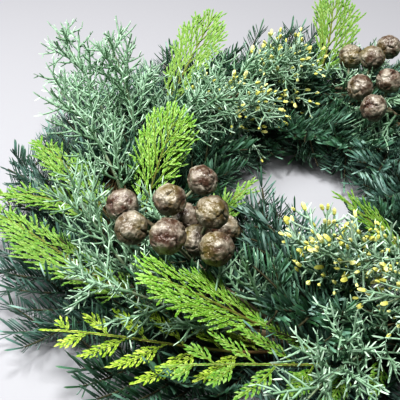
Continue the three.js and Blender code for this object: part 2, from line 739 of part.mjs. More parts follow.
// The firs of the top, which show between the rest, and then one outside and one inside at
// each turn. The firs of a few inner turns are left to the pieces above.
const TOP_FIRS = [
  { turn: -60, slot: 180, tip: [-114, 80, 66], arch: 14 },
  { turn: -60, slot: 90, tip: [-104, 190, 76], arch: 4 },
  { turn: 120, slot: 45, tip: [89, 188, 52], arch: 4 },
];
const INNER_TURNS_TAKEN = [-120, -60, -30, 150];

const CONE_BRANCHES = [
  {
    name: 'cone_branch_front',
    turn: -90,
    slot: 90,
    tip: [-142, 140, 54],
    cones: [
      [-68, -66, 78], [-84, -103, 88], [-119, -101, 76], [-104, -131, 84], [-76, -145, 94],
      [-53, -114, 91], [-75, -91, 61], [-62, -114, 64], [-46, -138, 82], [-47, -92, 57],
    ],
  },
  {
    name: 'cone_branch_back',
    turn: 90,
    slot: 90,
    tip: [46, 115, 56],
    cones: [
      [37, 156, 71], [55, 138, 81], [72, 176, 74], [45, 94, 74], [70, 107, 76],
      [57, 69, 70],
    ],
  },
];

const number = (k) => String(k + 1).padStart(2, '0');

// Reads the tables into one list of named sprays, in the order in which they are laid.
function allSprays() {
  const named = (list, name, extra) => list.map((spray, k) => ({
    ...spray, ...extra, name: `${name}_${number(k)}` }));
  const random = randomSource(SEEDS.firs);
  const wobble = (size) => (random() * 2 - 1) * size;
  const firs = TOP_FIRS.map((fir) => ({ ...fir }));
  for (let k = 0; k < TURNS; k += 1) {
    const turn = 180 - k * TURN_STEP;
    const outerTip = [turn - 31 + wobble(2), 240 + wobble(8), 24 + wobble(5)];
    firs.push({ turn, slot: -22, tip: outerTip, arch: 8 });
    if (!INNER_TURNS_TAKEN.includes(turn)) {
      const innerTip = [turn - 42 + wobble(3), 66 + wobble(4), 36 + wobble(8)];
      firs.push({ turn, slot: 180, tip: innerTip, arch: 2 });
    }
  }
  return [
    ...named(FRONDS, 'golden_frond', { grow: growFrond }),
    ...named(CYPRESSES, 'grey_cypress', { grow: growCypress }),
    ...named(BUDDED, 'budded_cypress', { grow: growCypress, budded: true }),
    ...named(firs, 'fir_spray', { grow: growFir }),
  ];
}

function finish(name, geometry, color, roughness, metalness = 0) {
  const material = new THREE.MeshStandardMaterial({ color, roughness, metalness });
  const mesh = new THREE.Mesh(geometry, material);
  mesh.name = name;
  return mesh;
}

function solidGeometry(solid) {
  const { vertProperties, triVerts } = solid.getMesh();
  const geometry = new THREE.BufferGeometry();
  geometry.setAttribute('position', new THREE.BufferAttribute(vertProperties, 3));
  geometry.setIndex(new THREE.BufferAttribute(triVerts, 1));
  return geometry;
}

// Puts the wreath together, cones first, so that the foliage grows clear of them. The origin
// is moved to the middle of the underside of the box round it all.
function makeWreath() {
  const wreath = new THREE.Group();
  wreath.add(finish('straw_ring', strawRing().geometry(), '#b99f63', 0.9));
  wreath.add(finish('binding_wire', bindingWire().geometry(), '#3f4a38', 0.5, 0.8));
  CONE_BRANCHES.forEach((branch, k) => {
    const solid = growConeBranch(branch, randomSource(SEEDS.cones + k));
    wreath.add(finish(branch.name, solidGeometry(solid), '#7a6350', 0.7));
  });
  const colours = {
    golden: '#a3bd3a', grey: '#8fae9b', budded: '#7f9c86', fir: '#3f6a56',
  };
  const sprays = allSprays();
  sprays.forEach(reserveStem);
  sprays.forEach((spray, k) => {
    const skin = spray.grow(spray, randomSource(SEEDS.sprays + k));
    const colour = colours[spray.name.split('_')[0]];
    wreath.add(finish(spray.name, skin.geometry(), colour, 0.8));
  });
  wreath.updateMatrixWorld(true);
  const box = new THREE.Box3().setFromObject(wreath);
  const middle = box.getCenter(vec(0, 0, 0));
  wreath.position.set(-middle.x, -middle.y, -box.min.z);
  return wreath;
}

export default makeWreath();
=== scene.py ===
# %% [markdown]
# # A fresh evergreen wreath
# The real wreath is made of cut sprays: fir, grey cypress, golden false cypress and cypress with
# yellow buds. They are laid clockwise on a ring of straw, and one wire winds over their stems. Two
# branches of round cones go on last.
# The CAD frame has one plain solid for each spray. This script grows a finer spray on the same
# stem, and that replaces the solid.

# %% Load the frame
import math
import random
from bisect import bisect_left

import bmesh
import bpy
from mathutils import Matrix, Quaternion, Vector, noise


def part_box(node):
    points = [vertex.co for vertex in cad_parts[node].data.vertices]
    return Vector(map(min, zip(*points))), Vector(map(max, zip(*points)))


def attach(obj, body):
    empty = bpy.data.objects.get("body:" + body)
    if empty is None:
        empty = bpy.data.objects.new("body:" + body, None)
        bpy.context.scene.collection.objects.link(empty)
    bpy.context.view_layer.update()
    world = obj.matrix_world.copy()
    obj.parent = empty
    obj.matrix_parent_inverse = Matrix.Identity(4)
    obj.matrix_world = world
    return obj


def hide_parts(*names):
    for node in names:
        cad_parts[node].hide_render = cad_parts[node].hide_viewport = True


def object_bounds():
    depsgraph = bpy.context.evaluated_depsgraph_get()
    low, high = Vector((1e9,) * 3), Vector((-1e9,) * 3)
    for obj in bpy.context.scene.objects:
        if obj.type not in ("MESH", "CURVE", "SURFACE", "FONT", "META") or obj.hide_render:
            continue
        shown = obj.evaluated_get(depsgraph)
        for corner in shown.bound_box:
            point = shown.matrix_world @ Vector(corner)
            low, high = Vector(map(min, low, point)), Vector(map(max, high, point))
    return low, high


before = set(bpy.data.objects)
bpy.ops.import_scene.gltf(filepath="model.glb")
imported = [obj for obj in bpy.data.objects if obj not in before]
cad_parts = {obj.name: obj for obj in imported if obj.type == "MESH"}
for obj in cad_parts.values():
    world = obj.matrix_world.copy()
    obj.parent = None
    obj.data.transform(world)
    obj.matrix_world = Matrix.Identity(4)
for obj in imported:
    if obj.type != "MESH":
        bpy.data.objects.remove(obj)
cad_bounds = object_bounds()
print("frame loaded:", len(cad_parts), "nodes")

# %% [markdown]
# ## Sizes
# Lengths are in millimetres, measured from the middle of the wreath's hole at table height, and
# angles are in degrees. Blender works in metres, so `MM` turns one into the other. The middle of
# the hole is read from the straw ring's box, which ties everything here to the CAD frame.

# %% Sizes of the wreath
MM = 0.001
UP = Vector((0, 0, 1))
RING_RADIUS = 150
STRAW_RADIUS = 16
WAIST_DEPTH = 2
STRAW_SIDES = 8
TURNS = 12
TURN_STEP = 360 / TURNS
STEM_RADIUS = 1.7
GAP = 0.35
HOLE_RADIUS = 47
CUT_LENGTH = 7
CUT_LIFT = 1.6
LIFT = 24
ARCH = 8
CONE_SIZE = 27

ring_low, ring_high = (Vector(corner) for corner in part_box("straw_ring"))
MIDDLE = Vector(((ring_low.x + ring_high.x) / 2, (ring_low.y + ring_high.y) / 2, ring_low.z))
BOX_LOW = (Vector(cad_bounds[0]) - MIDDLE) / MM
BOX_HIGH = (Vector(cad_bounds[1]) - MIDDLE) / MM


def in_frame(point):
    """A point of the wreath, in millimetres from its middle, in the frame's metres."""
    return MIDDLE + point * MM


print("wreath", [round(side) for side in BOX_HIGH - BOX_LOW], "mm, middle at", tuple(MIDDLE))

# %% [markdown]
# ## Even random numbers
# The firs' tips wander a little from their regular places. The CAD source draws them from a small
# seeded generator, and the same generator here gives the same tips. Everything else uses Python's
# own `random.Random` with a fixed seed. Blender's noise vectors start from the clock unless they
# are given a seed too, so the cones set one. Then the script gives the same wreath on each run.


# %% A seeded source, the same as the CAD's
def random_source(seed):
    """Numbers from 0 to 1, the same sequence for the same seed."""
    mask = 0xFFFFFFFF
    state = seed * 2654435761 & mask

    def draw():
        nonlocal state
        state = (state + 0x6D2B79F5) & mask
        mixed = ((state ^ state >> 15) * (1 | state)) & mask
        mixed = (mixed + (((mixed ^ mixed >> 7) * (61 | mixed)) & mask) ^ mixed) & mask
        return (mixed ^ mixed >> 14) / (mask + 1)

    return draw


print("first draw:", round(random_source(11)(), 6))

# %% [markdown]
# ## The path of each stem
# A stem is tied at one turn of the wire. `slot` is its place round the straw's section: 0 is the
# outside, 90 the top and 180 the inside. It leaves the straw clockwise and bends to its tip, on a
# Bezier curve of four points. `Path` walks along that curve at an even pace, so a share of 0.5 is
# the middle of the stem's length.

# %% Stems on the straw
HANDLE_SHARE = 0.3
BEND_SHARE = 0.55


def polar(angle, radius, height=0.0):
    """A point by its angle round the wreath, distance from the middle and height."""
    turn = math.radians(angle)
    return Vector((radius * math.cos(turn), radius * math.sin(turn), height))


def straw_normal(angle, slot):
    """The way out of the straw at a place round its section."""
    return polar(angle, math.cos(math.radians(slot)), math.sin(math.radians(slot)))


def straw_point(angle, slot, distance):
    """A point at some distance from the middle line of the straw."""
    return polar(angle, RING_RADIUS, STRAW_RADIUS) + straw_normal(angle, slot) * distance


def straw_reach(slot, waist=1):
    """From the straw's middle line to its eight-sided surface. waist is 1 under the wire."""
    side = 360 / STRAW_SIDES
    off_face = (slot + side / 2) % side - side / 2
    return (STRAW_RADIUS - WAIST_DEPTH * waist) / math.cos(math.radians(off_face))


class Path:
    """A Bezier curve that is walked by shares of its length."""

    def __init__(self, corners, steps=200):
        self.points = [self.bezier(corners, k / steps) for k in range(steps + 1)]
        self.lengths = [0.0]
        for before, after in zip(self.points, self.points[1:]):
            self.lengths.append(self.lengths[-1] + (after - before).length)
        self.length = self.lengths[-1]

    @staticmethod
    def bezier(corners, t):
        while len(corners) > 1:
            corners = [a.lerp(b, t) for a, b in zip(corners, corners[1:])]
        return corners[0]

    def at(self, share):
        """The point at a share of the length, and the way ahead there."""
        wanted = min(max(share, 0), 1) * self.length
        k = bisect_left(self.lengths, wanted, 1, len(self.lengths) - 1)
        start, end = self.points[k - 1], self.points[k]
        part = (wanted - self.lengths[k - 1]) / (self.lengths[k] - self.lengths[k - 1])
        return start.lerp(end, part), (end - start).normalized()


def spray_path(spray):
    """A spray's cut end and the path of its stem from the tie to the tip."""
    turn, slot = spray["turn"], spray["slot"]
    tie = straw_point(turn, slot, straw_reach(slot) + GAP + STEM_RADIUS)
    normal = straw_normal(turn, slot)
    lay = Vector((math.sin(math.radians(turn)), -math.cos(math.radians(turn)), 0))
    tip = polar(*spray["tip"])
    reach = (tip - tie).length
    lift = math.radians(spray.get("lift", LIFT))
    leave = tie + lay * reach * HANDLE_SHARE * math.cos(lift)
    leave += normal * reach * HANDLE_SHARE * math.sin(lift)
    bend = leave.lerp(tip, BEND_SHARE) + UP * spray.get("arch", ARCH)
    cut = tie - lay * CUT_LENGTH + normal * CUT_LIFT
    return cut, Path([tie, leave, bend, tip])


print("a stem at the top of the straw is tied", round(straw_reach(90) + GAP + STEM_RADIUS, 2),
      "mm from its middle line")

# %% [markdown]
# ## Where each spray lies
# The tables repeat the CAD's: turn of wire, slot and tip, which is angle, distance and height.
# Last come how high the stem arches and how steeply it leaves the straw, where they differ from
# the others.

# %% Tables of the sprays
def rows(*table):
    """Table rows of turn, slot, tip, arch and lift as named values."""
    names = ("turn", "slot", "tip", "arch", "lift")
    return [dict(zip(names, row)) for row in table]


FRONDS = rows(
    (-150, 67, (-176, 220, 58), 10),
    (-150, 45, (-165, 247, 38)),
    (-120, 22, (-161, 250, 36), 17),
    (-150, 157, (180, 100, 92), 4),
    (-90, 67, (-117, 192, 84), 14),
    (-90, 22, (-127, 243, 46), 11),
    (-60, 22, (-106, 226, 60), 14),
    (150, 67, (119, 204, 92)),
    (90, 67, (86, 210, 100), 0, 50),
    (-30, 157, (-60, 66, 70)),
    (-120, 180, (-128, 54, 62), 10),
    (30, 67, (4, 220, 58), 10),
    (30, 45, (15, 244, 38)),
    (60, 22, (19, 248, 36), 14),
)
CYPRESSES = rows(
    (180, 67, (160, 242, 108)),
    (180, 112, (155, 200, 106)),
    (-150, 112, (173, 214, 86), 18),
    (150, 112, (100, 108, 78), 12),
    (180, 135, (141, 86, 78), 10),
    (-120, 45, (-154, 184, 74), 6),
    (-90, 45, (-131, 214, 60), 24),
    (-60, 45, (-85, 226, 62), 12),
    (-30, 45, (-66, 210, 80), 10),
    (0, 67, (-20, 240, 100)),
    (0, 112, (-26, 198, 98)),
    (30, 112, (-7, 214, 84), 18),
    (90, 22, (50, 218, 60), 20),
)
BUDDED = rows(
    (120, 112, (93, 125, 80)),
    (150, 135, (115, 73, 62)),
    (-30, 67, (-70, 177, 84), 10),
    (-30, 112, (-78, 146, 88), 12),
    (-60, 135, (-83, 118, 86), 4),
)
FIRS = rows(
    (-60, 180, (-114, 80, 66), 14),
    (-60, 90, (-104, 190, 76), 4),
    (120, 45, (89, 188, 52), 4),
)
OUTER_SLOT, OUTER_TIP, OUTER_WOBBLE = -22, (-31, 240, 24), (2, 8, 5)
INNER_SLOT, INNER_TIP, INNER_WOBBLE = 180, (-42, 66, 36), (3, 4, 8)
INNER_TURNS_TAKEN = (-120, -60, -30, 150)

draw = random_source(11)


def wandering_tip(turn, tip, wobble):
    """A fir's tip, a little off its regular place from the turn of wire."""
    place = (turn + tip[0], tip[1], tip[2])
    return tuple(part + (draw() * 2 - 1) * size for part, size in zip(place, wobble))


for k in range(TURNS):
    turn = 180 - k * TURN_STEP
    FIRS += rows((turn, OUTER_SLOT, wandering_tip(turn, OUTER_TIP, OUTER_WOBBLE)))
    if turn not in INNER_TURNS_TAKEN:
        FIRS += rows((turn, INNER_SLOT, wandering_tip(turn, INNER_TIP, INNER_WOBBLE), 2))

CONE_BRANCHES = {
    "cone_branch_front": {
        "turn": -90, "slot": 90, "tip": (-142, 140, 54),
        "cones": [
            (-68, -66, 78), (-84, -103, 88), (-119, -101, 76), (-104, -131, 84), (-76, -145, 94),
            (-53, -114, 91), (-75, -91, 61), (-62, -114, 64), (-46, -138, 82), (-47, -92, 57),
        ],
    },
    "cone_branch_back": {
        "turn": 90, "slot": 90, "tip": (46, 115, 56),
        "cones": [
            (37, 156, 71), (55, 138, 81), (72, 176, 74), (45, 94, 74), (70, 107, 76), (57, 69, 70),
        ],
    },
}
print(len(FRONDS), "fronds,", len(CYPRESSES) + len(BUDDED), "cypress sprays,", len(FIRS), "firs")

# %% [markdown]
# ## Arithmetic with node sockets
# Geometry Nodes and materials are both graphs of nodes, and most of their nodes are sums. Adding
# each by hand is long, so `Value` wraps a socket: `a * 2 + b` adds the Math nodes that work it
# out. Vectors go through Vector Math instead, because a Math node would lose their direction.
# Every other node comes from one method, `Graph.add`, which sets the node's settings first and
# then its sockets.


# %% Sockets that can be added up
def operator(operation, reflected=False):
    """A method that does one kind of arithmetic by adding a node."""
    def apply(self, term):
        return self.graph.maths(operation, *((term, self) if reflected else (self, term)))
    return apply


class Value:
    """A node's output. Arithmetic with it adds nodes to its graph."""

    __add__, __radd__ = operator("ADD"), operator("ADD", reflected=True)
    __sub__, __rsub__ = operator("SUBTRACT"), operator("SUBTRACT", reflected=True)
    __mul__, __rmul__ = operator("MULTIPLY"), operator("MULTIPLY", reflected=True)
    __gt__, __lt__ = operator("GREATER_THAN"), operator("LESS_THAN")

    def __init__(self, graph, socket):
        self.graph = graph
        self.socket = socket

    def other(self, name):
        """Another output of the same node."""
        outputs = self.socket.node.outputs
        return Value(self.graph, next(s for s in outputs if s.name == name and s.enabled))


def is_vector(term):
    """Whether a term is a vector: a vector socket, or three numbers."""
    if isinstance(term, Value):
        return term.socket.type == "VECTOR"
    return not isinstance(term, (int, float))


class Graph:
    """A node tree that is filled from Python."""

    def __init__(self, tree):
        self.tree = tree

    def add(self, kind, settings=(), values=()):
        """Adds a node: its settings first, then the values or links of its sockets."""
        node = self.tree.nodes.new(kind)
        for name, setting in dict(settings).items():
            if name == "stops":
                self.set_stops(node.color_ramp.elements, setting)
            else:
                setattr(node, name, setting)
        self.fill(node, dict(values))
        return Value(self, next(socket for socket in node.outputs if socket.enabled))

    def add_end(self, kind, values):
        """Adds a node that ends the graph, so it has no output to give back."""
        self.fill(self.tree.nodes.new(kind), values)

    def fill(self, node, values):
        """Sets or links the sockets of a node, each given by its name or its number."""
        for key, value in values.items():
            socket = node.inputs[key] if isinstance(key, int) else next(
                s for s in node.inputs if s.name == key and s.enabled)
            for term in value if isinstance(value, list) else [value]:
                if isinstance(term, Value):
                    self.tree.links.new(term.socket, socket)
                else:
                    socket.default_value = term

    @staticmethod
    def set_stops(elements, stops):
        while len(elements) < len(stops):
            elements.new(1)
        for element, (position, shade) in zip(elements, stops):
            element.position = position
            element.color = shade

    def maths(self, operation, *terms):
        """A Math node, or a Vector Math node where a term is a vector."""
        if not any(is_vector(term) for term in terms):
            return self.add("ShaderNodeMath", {"operation": operation}, enumerate(terms))
        if operation == "MULTIPLY" and not all(is_vector(term) for term in terms):
            vector, factor = sorted(terms, key=is_vector, reverse=True)
            return self.vector_maths("SCALE", vector, Scale=factor)
        return self.vector_maths(operation, *terms)

    def vector_maths(self, operation, *terms, **named):
        return self.add("ShaderNodeVectorMath", {"operation": operation},
                        {**dict(enumerate(terms)), **named})

    def length(self, vector):
        return self.vector_maths("LENGTH", vector).other("Value")

    def unit(self, vector):
        return self.vector_maths("NORMALIZE", vector)


print("graph helpers ready")

# %% [markdown]
# ## One tree for every leafy spray
# Leaves repeat along a twig by a rule, which is what Geometry Nodes are good at. The twigs come
# in as chains of edges that carry a radius and a facing direction at each point. The tree makes
# the bark with Curve to Mesh, and sets one leaf at every pitch. `Spin` is the turn from one leaf
# to the next: at 180 degrees they stand in two rows. `First` turns both rows, so at 90 they lie
# left and right of the twig, and `Stray` lets each leaf off its row.
# A leaf whose tip would leave the CAD box, enter the hole or cover a cone or a frond is left out.
# What is to stay in sight is guarded by lines that run up and forward from it.

# %% The tree of a leafy spray
SOCKETS = {
    "Sides": 5, "Pitch": 0.001, "Spread": 1.0, "Spin": math.pi, "First": 0.0, "Stray": 0.2,
    "Lift": 0.0, "Flat": 0.5, "Smallest": 0.8, "Largest": 1.1, "Reach": 0.02, "Seed": 0,
    "Leaf": "Object", "End": "Object", "End share": 1.0,
    "Low": (0, 0, 0), "High": (0, 0, 0), "Middle": (0, 0, 0), "Hole": 0.047,
    "Guards": "Object", "Guard gap": 0.0, "More guards": "Object", "More gap": 0.0,
    "Bark finish": "Material", "Leaf finish": "Material", "End finish": "Material",
}
SOCKET_KINDS = {int: "Int", float: "Float", tuple: "Vector"}
LEAFY_FROM = 0.1


def new_tree(name, sockets):
    """An empty geometry tree with named inputs, and a way to read them."""
    tree = bpy.data.node_groups.new(name, "GeometryNodeTree")
    for way in ("INPUT", "OUTPUT"):
        tree.interface.new_socket("Geometry", in_out=way, socket_type="NodeSocketGeometry")
    for title, default in sockets.items():
        named = isinstance(default, str)
        kind = default if named else SOCKET_KINDS[type(default)]
        socket = tree.interface.new_socket(title, in_out="INPUT", socket_type="NodeSocket" + kind)
        if not named:
            socket.default_value = default
    graph = Graph(tree)
    return graph, graph.add("NodeGroupInput").other


def attribute(graph, name, kind="FLOAT"):
    return graph.add("GeometryNodeInputNamedAttribute", {"data_type": kind}, {"Name": name})


def keeps_clear(graph, given, start, direction, reach):
    """1 where a twig is leafy and its leaf stays in the box, out of the hole and off the
    guard lines, else 0."""
    tip = start + direction * reach
    past = graph.maths("MAXIMUM", given("Low") - tip, tip - given("High"))
    outside = graph.maths("MAXIMUM", past, (0, 0, 0))
    from_middle = graph.maths("MULTIPLY", tip - given("Middle"), (1, 1, 0))
    keep = (graph.length(outside) < 1e-6) * (graph.length(from_middle) > given("Hole"))
    for lines, gap in (("Guards", "Guard gap"), ("More guards", "More gap")):
        lines = graph.add("GeometryNodeObjectInfo", {}, {"Object": given(lines)}).other("Geometry")
        for point in (tip, start + direction * (reach * 0.5)):
            near = graph.add("GeometryNodeProximity", {"target_element": "EDGES"},
                             {"Geometry": lines, "Sample Position": point})
            keep = keep * (near.other("Distance") > given(gap))
    return keep * (attribute(graph, "leafy") > LEAFY_FROM)


def aim(graph, direction, upper):
    """The rotation that points Z along a direction and turns X towards another."""
    turned = graph.add("FunctionNodeAlignRotationToVector", {"axis": "Z"}, {"Vector": direction})
    return graph.add("FunctionNodeAlignRotationToVector", {"axis": "X", "pivot_axis": "Z"},
                     {"Rotation": turned, "Vector": upper})


def random_value(graph, given, low, high, offset):
    """A random number for each point, from a seed of its own."""
    return graph.add("FunctionNodeRandomValue", {"data_type": "FLOAT"}, {
        "Min": low, "Max": high, "ID": graph.add("GeometryNodeInputIndex"),
        "Seed": given("Seed") + offset})


def set_leaves(graph, given, points, kind, keep, rotation, size, offset):
    """Puts leaves or ends on points, gives each a random tone, and makes them real."""
    shape = graph.add("GeometryNodeObjectInfo", {}, {"Object": given(kind)}).other("Geometry")
    scale = graph.add("ShaderNodeCombineXYZ", {}, {0: size, 1: size, 2: size})
    copies = graph.add("GeometryNodeInstanceOnPoints", {}, {
        "Points": points, "Selection": keep, "Instance": shape, "Rotation": rotation,
        "Scale": scale})
    toned = graph.add(
        "GeometryNodeStoreNamedAttribute", {"data_type": "FLOAT", "domain": "INSTANCE"},
        {"Geometry": copies, "Name": "tone", "Value": random_value(graph, given, 0.0, 1.0, offset)})
    real = graph.add("GeometryNodeRealizeInstances", {}, {"Geometry": toned})
    return graph.add("GeometryNodeSetMaterial", {}, {
        "Geometry": real, "Material": given(kind + " finish")})


def leafy_tree():
    graph, given = new_tree("leafy_spray", SOCKETS)
    curve = graph.add("GeometryNodeMeshToCurve", {}, {"Mesh": given("Geometry")})
    ring = graph.add("GeometryNodeCurvePrimitiveCircle", {}, {
        "Resolution": given("Sides"), "Radius": 1.0})
    bark = graph.add("GeometryNodeCurveToMesh", {}, {
        "Curve": curve, "Profile Curve": ring, "Scale": attribute(graph, "thick"),
        "Fill Caps": True})
    bark = graph.add("GeometryNodeSetMaterial", {}, {
        "Geometry": bark, "Material": given("Bark finish")})

    points = graph.add("GeometryNodeCurveToPoints", {"mode": "LENGTH"}, {
        "Curve": curve, "Length": given("Pitch")})
    ahead = points.other("Tangent")
    facing = attribute(graph, "facing", "FLOAT_VECTOR")
    level = graph.vector_maths("DOT_PRODUCT", facing, ahead).other("Value")
    facing = graph.unit(facing - ahead * level)
    stray = random_value(graph, given, -1.0, 1.0, 1) * given("Stray")
    angle = graph.add("GeometryNodeInputIndex") * given("Spin") + given("First") + stray
    outward = graph.add("ShaderNodeVectorRotate", {"rotation_type": "AXIS_ANGLE"}, {
        "Vector": facing, "Axis": ahead, "Angle": angle})
    outward = graph.unit(outward + facing * given("Lift"))
    spread = given("Spread") + random_value(graph, given, -0.35, 0.35, 2) * given("Stray")
    direction = graph.unit(ahead * graph.maths("COSINE", spread)
                           + outward * graph.maths("SINE", spread))
    size = random_value(graph, given, given("Smallest"), given("Largest"), 3)
    size = size * attribute(graph, "leafy")
    position = graph.add("GeometryNodeInputPosition")
    keep = keeps_clear(graph, given, position, direction, size * given("Reach"))
    upper = ahead + facing * given("Flat")
    leaves = set_leaves(graph, given, points, "Leaf", keep, aim(graph, direction, upper), size, 4)

    onward = graph.add("GeometryNodeInputTangent")
    is_end = graph.add("GeometryNodeCurveEndpointSelection", {}, {"Start Size": 0, "End Size": 1})
    chosen = random_value(graph, given, 0.0, 1.0, 5) < given("End share")
    last = keeps_clear(graph, given, position, onward, given("Reach") * 0.6) * is_end * chosen
    rotation = aim(graph, onward, attribute(graph, "facing", "FLOAT_VECTOR"))
    size = random_value(graph, given, given("Smallest"), given("Largest"), 6)
    ends = set_leaves(graph, given, curve, "End", last, rotation, size, 7)

    whole = graph.add("GeometryNodeJoinGeometry", {}, {"Geometry": [bark, leaves, ends]})
    graph.add_end("NodeGroupOutput", {"Geometry": whole})
    return graph.tree


LEAFY = leafy_tree()
print("leafy tree:", len(LEAFY.nodes), "nodes")

# %% [markdown]
# ## From twigs to a finished piece
# A `Skeleton` collects the twigs of one spray as chains of points in millimetres. Each twig knows
# its thickness, which way its upper side faces, where it bears leaves, and its level: 0 is the
# main stem, 1 a side twig and 2 a twig on that. A twig stops where it would leave the wreath's
# room or cover what it yields to. `grow` turns the skeleton into a plain mesh: it puts the tree on
# it, takes the evaluated result and throws the skeleton away.

# %% Lines that keep cones and fronds in sight
CONE_GAP = CONE_SIZE / 2 + 2
FROND_GAP = 10
UNCOVERED_FROM = {0: 5, 3: 5, 6: 5, 10: 8}
FRONT_FROND = 4
GUARD_LENGTH = 50
TOWARDS_CAMERA = Vector((0, -0.8, 0.6))


def guard_lines(points):
    """Lines up and forward from each point, in millimetres."""
    return [(point, point + way * GUARD_LENGTH) for point in points for way in (UP, TOWARDS_CAMERA)]


def over_frond(k):
    """Points above a frond, from the tenth of its stem where it comes out of the foliage."""
    path = spray_path(FRONDS[k])[1]
    tenths = range(UNCOVERED_FROM.get(k, 2), 10)
    return [path.at(tenth / 10)[0] + UP * FROND_GAP for tenth in tenths]


CONE_GUARDS = guard_lines([Vector(cone) for branch in CONE_BRANCHES.values()
                           for cone in branch["cones"]])
FROND_GUARDS = guard_lines([point for k in range(len(FRONDS)) for point in over_frond(k)])
FRONT_GUARDS = guard_lines(over_frond(FRONT_FROND))


def covers(point, lines, gap):
    """Whether a point comes too near to guard lines."""
    for start, end in lines:
        along = end - start
        share = min(max((point - start).dot(along) / along.length_squared, 0), 1)
        if (point - start - along * share).length < gap:
            return True
    return False


print(len(CONE_GUARDS), "lines keep the cones in sight, and", len(FROND_GUARDS), "the fronds")

# %% Skeletons
ROOM_MARGIN = 1.5


def has_room(point, yields):
    """Whether a twig may pass through a point. It keeps off the guard lines it yields to."""
    inside = all(BOX_LOW[k] + ROOM_MARGIN < point[k] < BOX_HIGH[k] - ROOM_MARGIN for k in range(3))
    from_middle = math.hypot(point.x, point.y)
    off_straw = math.hypot(from_middle - RING_RADIUS, point.z - STRAW_RADIUS) - STRAW_RADIUS
    if not inside or from_middle < HOLE_RADIUS or off_straw < ROOM_MARGIN:
        return False
    return not covers(point, yields, FROND_GAP) and not covers(point, CONE_GUARDS, CONE_GAP)


class Skeleton:
    """The twigs of one spray, with four values for each of their points."""

    def __init__(self, yields=()):
        self.yields = yields
        self.chains = []
        self.fields = {"thick": [], "leafy": [], "facing": [], "level": []}

    def add(self, points, thick, facing, leafy, level, free=False):
        """Adds a twig. thick and leafy are (start, end) pairs. Returns the points that fit."""
        kept = 0
        while kept < len(points) and (free or has_room(points[kept], self.yields)):
            kept += 1
        if kept < 2:
            return []
        for k in range(kept):
            share = k / (len(points) - 1)
            self.fields["thick"].append((thick[0] + (thick[1] - thick[0]) * share) * MM)
            self.fields["leafy"].append(leafy[0] + (leafy[1] - leafy[0]) * share)
            self.fields["facing"].append(facing)
            self.fields["level"].append(float(level))
        self.chains.append(points[:kept])
        return points[:kept]


def edge_object(name, chains, fields):
    """A mesh of chains of edges. Each field is a number or a vector for each of its points."""
    points = [in_frame(point) for chain in chains for point in chain]
    edges = []
    for chain in chains:
        start = edges[-1][1] + 1 if edges else 0
        edges += [(start + k, start + k + 1) for k in range(len(chain) - 1)]
    mesh = bpy.data.meshes.new(name)
    mesh.from_pydata(points, edges, [])
    for field, values in fields.items():
        vectors = isinstance(values[0], Vector)
        flat = [part for value in values for part in value] if vectors else values
        layer = mesh.attributes.new(field, "FLOAT_VECTOR" if vectors else "FLOAT", "POINT")
        layer.data.foreach_set("vector" if vectors else "value", flat)
    return bpy.data.objects.new(name, mesh)


def triangles(piece):
    return sum(len(face.vertices) - 2 for face in piece.data.polygons)


cone_guards = edge_object("cone_guards", CONE_GUARDS, {})
frond_guards = edge_object("frond_guards", FROND_GUARDS, {})
front_guards = edge_object("front_guards", FRONT_GUARDS, {})
ROOM = {
    "Low": tuple(in_frame(BOX_LOW + Vector((4, 4, 1)))),
    "High": tuple(in_frame(BOX_HIGH - Vector((4, 4, 4)))),
    "Middle": tuple(MIDDLE), "Hole": (HOLE_RADIUS + 2) * MM,
    "Guards": cone_guards, "Guard gap": (CONE_SIZE / 2 - 1.5) * MM,
    "More guards": cone_guards, "More gap": 0.0,
}


def linked(name, data):
    """An object of the scene that shows a mesh, a lamp or a camera."""
    made = bpy.data.objects.new(name, data)
    bpy.context.collection.objects.link(made)
    return made


def evaluated(skeleton_object, tree, inputs, name):
    """The plain mesh object that a tree makes of a skeleton. The skeleton is removed."""
    bpy.context.collection.objects.link(skeleton_object)
    modifier = skeleton_object.modifiers.new("grow", "NODES")
    modifier.node_group = tree
    names = {item.name: item.identifier for item in tree.interface.items_tree}
    for title, value in inputs.items():
        modifier[names[title]] = value
    bpy.context.view_layer.update()
    graph = bpy.context.evaluated_depsgraph_get()
    mesh = bpy.data.meshes.new_from_object(
        skeleton_object.evaluated_get(graph), preserve_all_data_layers=True, depsgraph=graph)
    source = skeleton_object.data
    bpy.data.objects.remove(skeleton_object)
    bpy.data.meshes.remove(source)
    mesh.name = name
    return linked(name, mesh)


def grow(name, skeleton, inputs):
    """Finishes one spray, hangs it on the root body and hides its CAD node."""
    twigs = edge_object(name + "_twigs", skeleton.chains, skeleton.fields)
    piece = evaluated(twigs, LEAFY, {**ROOM, **inputs}, name + "_fine")
    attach(piece, "root")
    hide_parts(name)
    return piece


print("leaves stay", round(ROOM["Hole"] / MM), "mm from the middle of the hole")

# %% [markdown]
# ## Growing a side twig
# A side twig leaves its parent at an angle and bends ahead and a little up, towards the light, as
# live twigs do. Its points come from a short Bezier curve, so that it is never straight.


# %% Side twigs
def hand(k):
    """1 and -1 in turn, for the two sides of a stem."""
    return 1 if k % 2 else -1


def perpendicular(vector, ahead):
    """The part of a vector that is square to the way ahead, with length 1."""
    return (vector - ahead * vector.dot(ahead)).normalized()


def point_along(laid, joint):
    """The point and the way ahead at a place between two points of a twig."""
    k = int(joint)
    return laid[k].lerp(laid[k + 1], joint - k), (laid[k + 1] - laid[k]).normalized()


def towards_hole(point):
    return -Vector((point.x, point.y, 0))


def side_twig(start, ahead, side, spread, length, rise, steps):
    """Points of a side twig that leaves at spread degrees and bends ahead and up."""
    turn = math.radians(spread)
    leave = ahead * math.cos(turn) + side * math.sin(turn)
    settle = (leave + ahead * 0.5 + UP * rise).normalized()
    corners = [start, start + leave * length * 0.5,
               start + leave * length * 0.45 + settle * length * 0.5]
    return [Path.bezier(corners, k / steps) for k in range(steps + 1)]


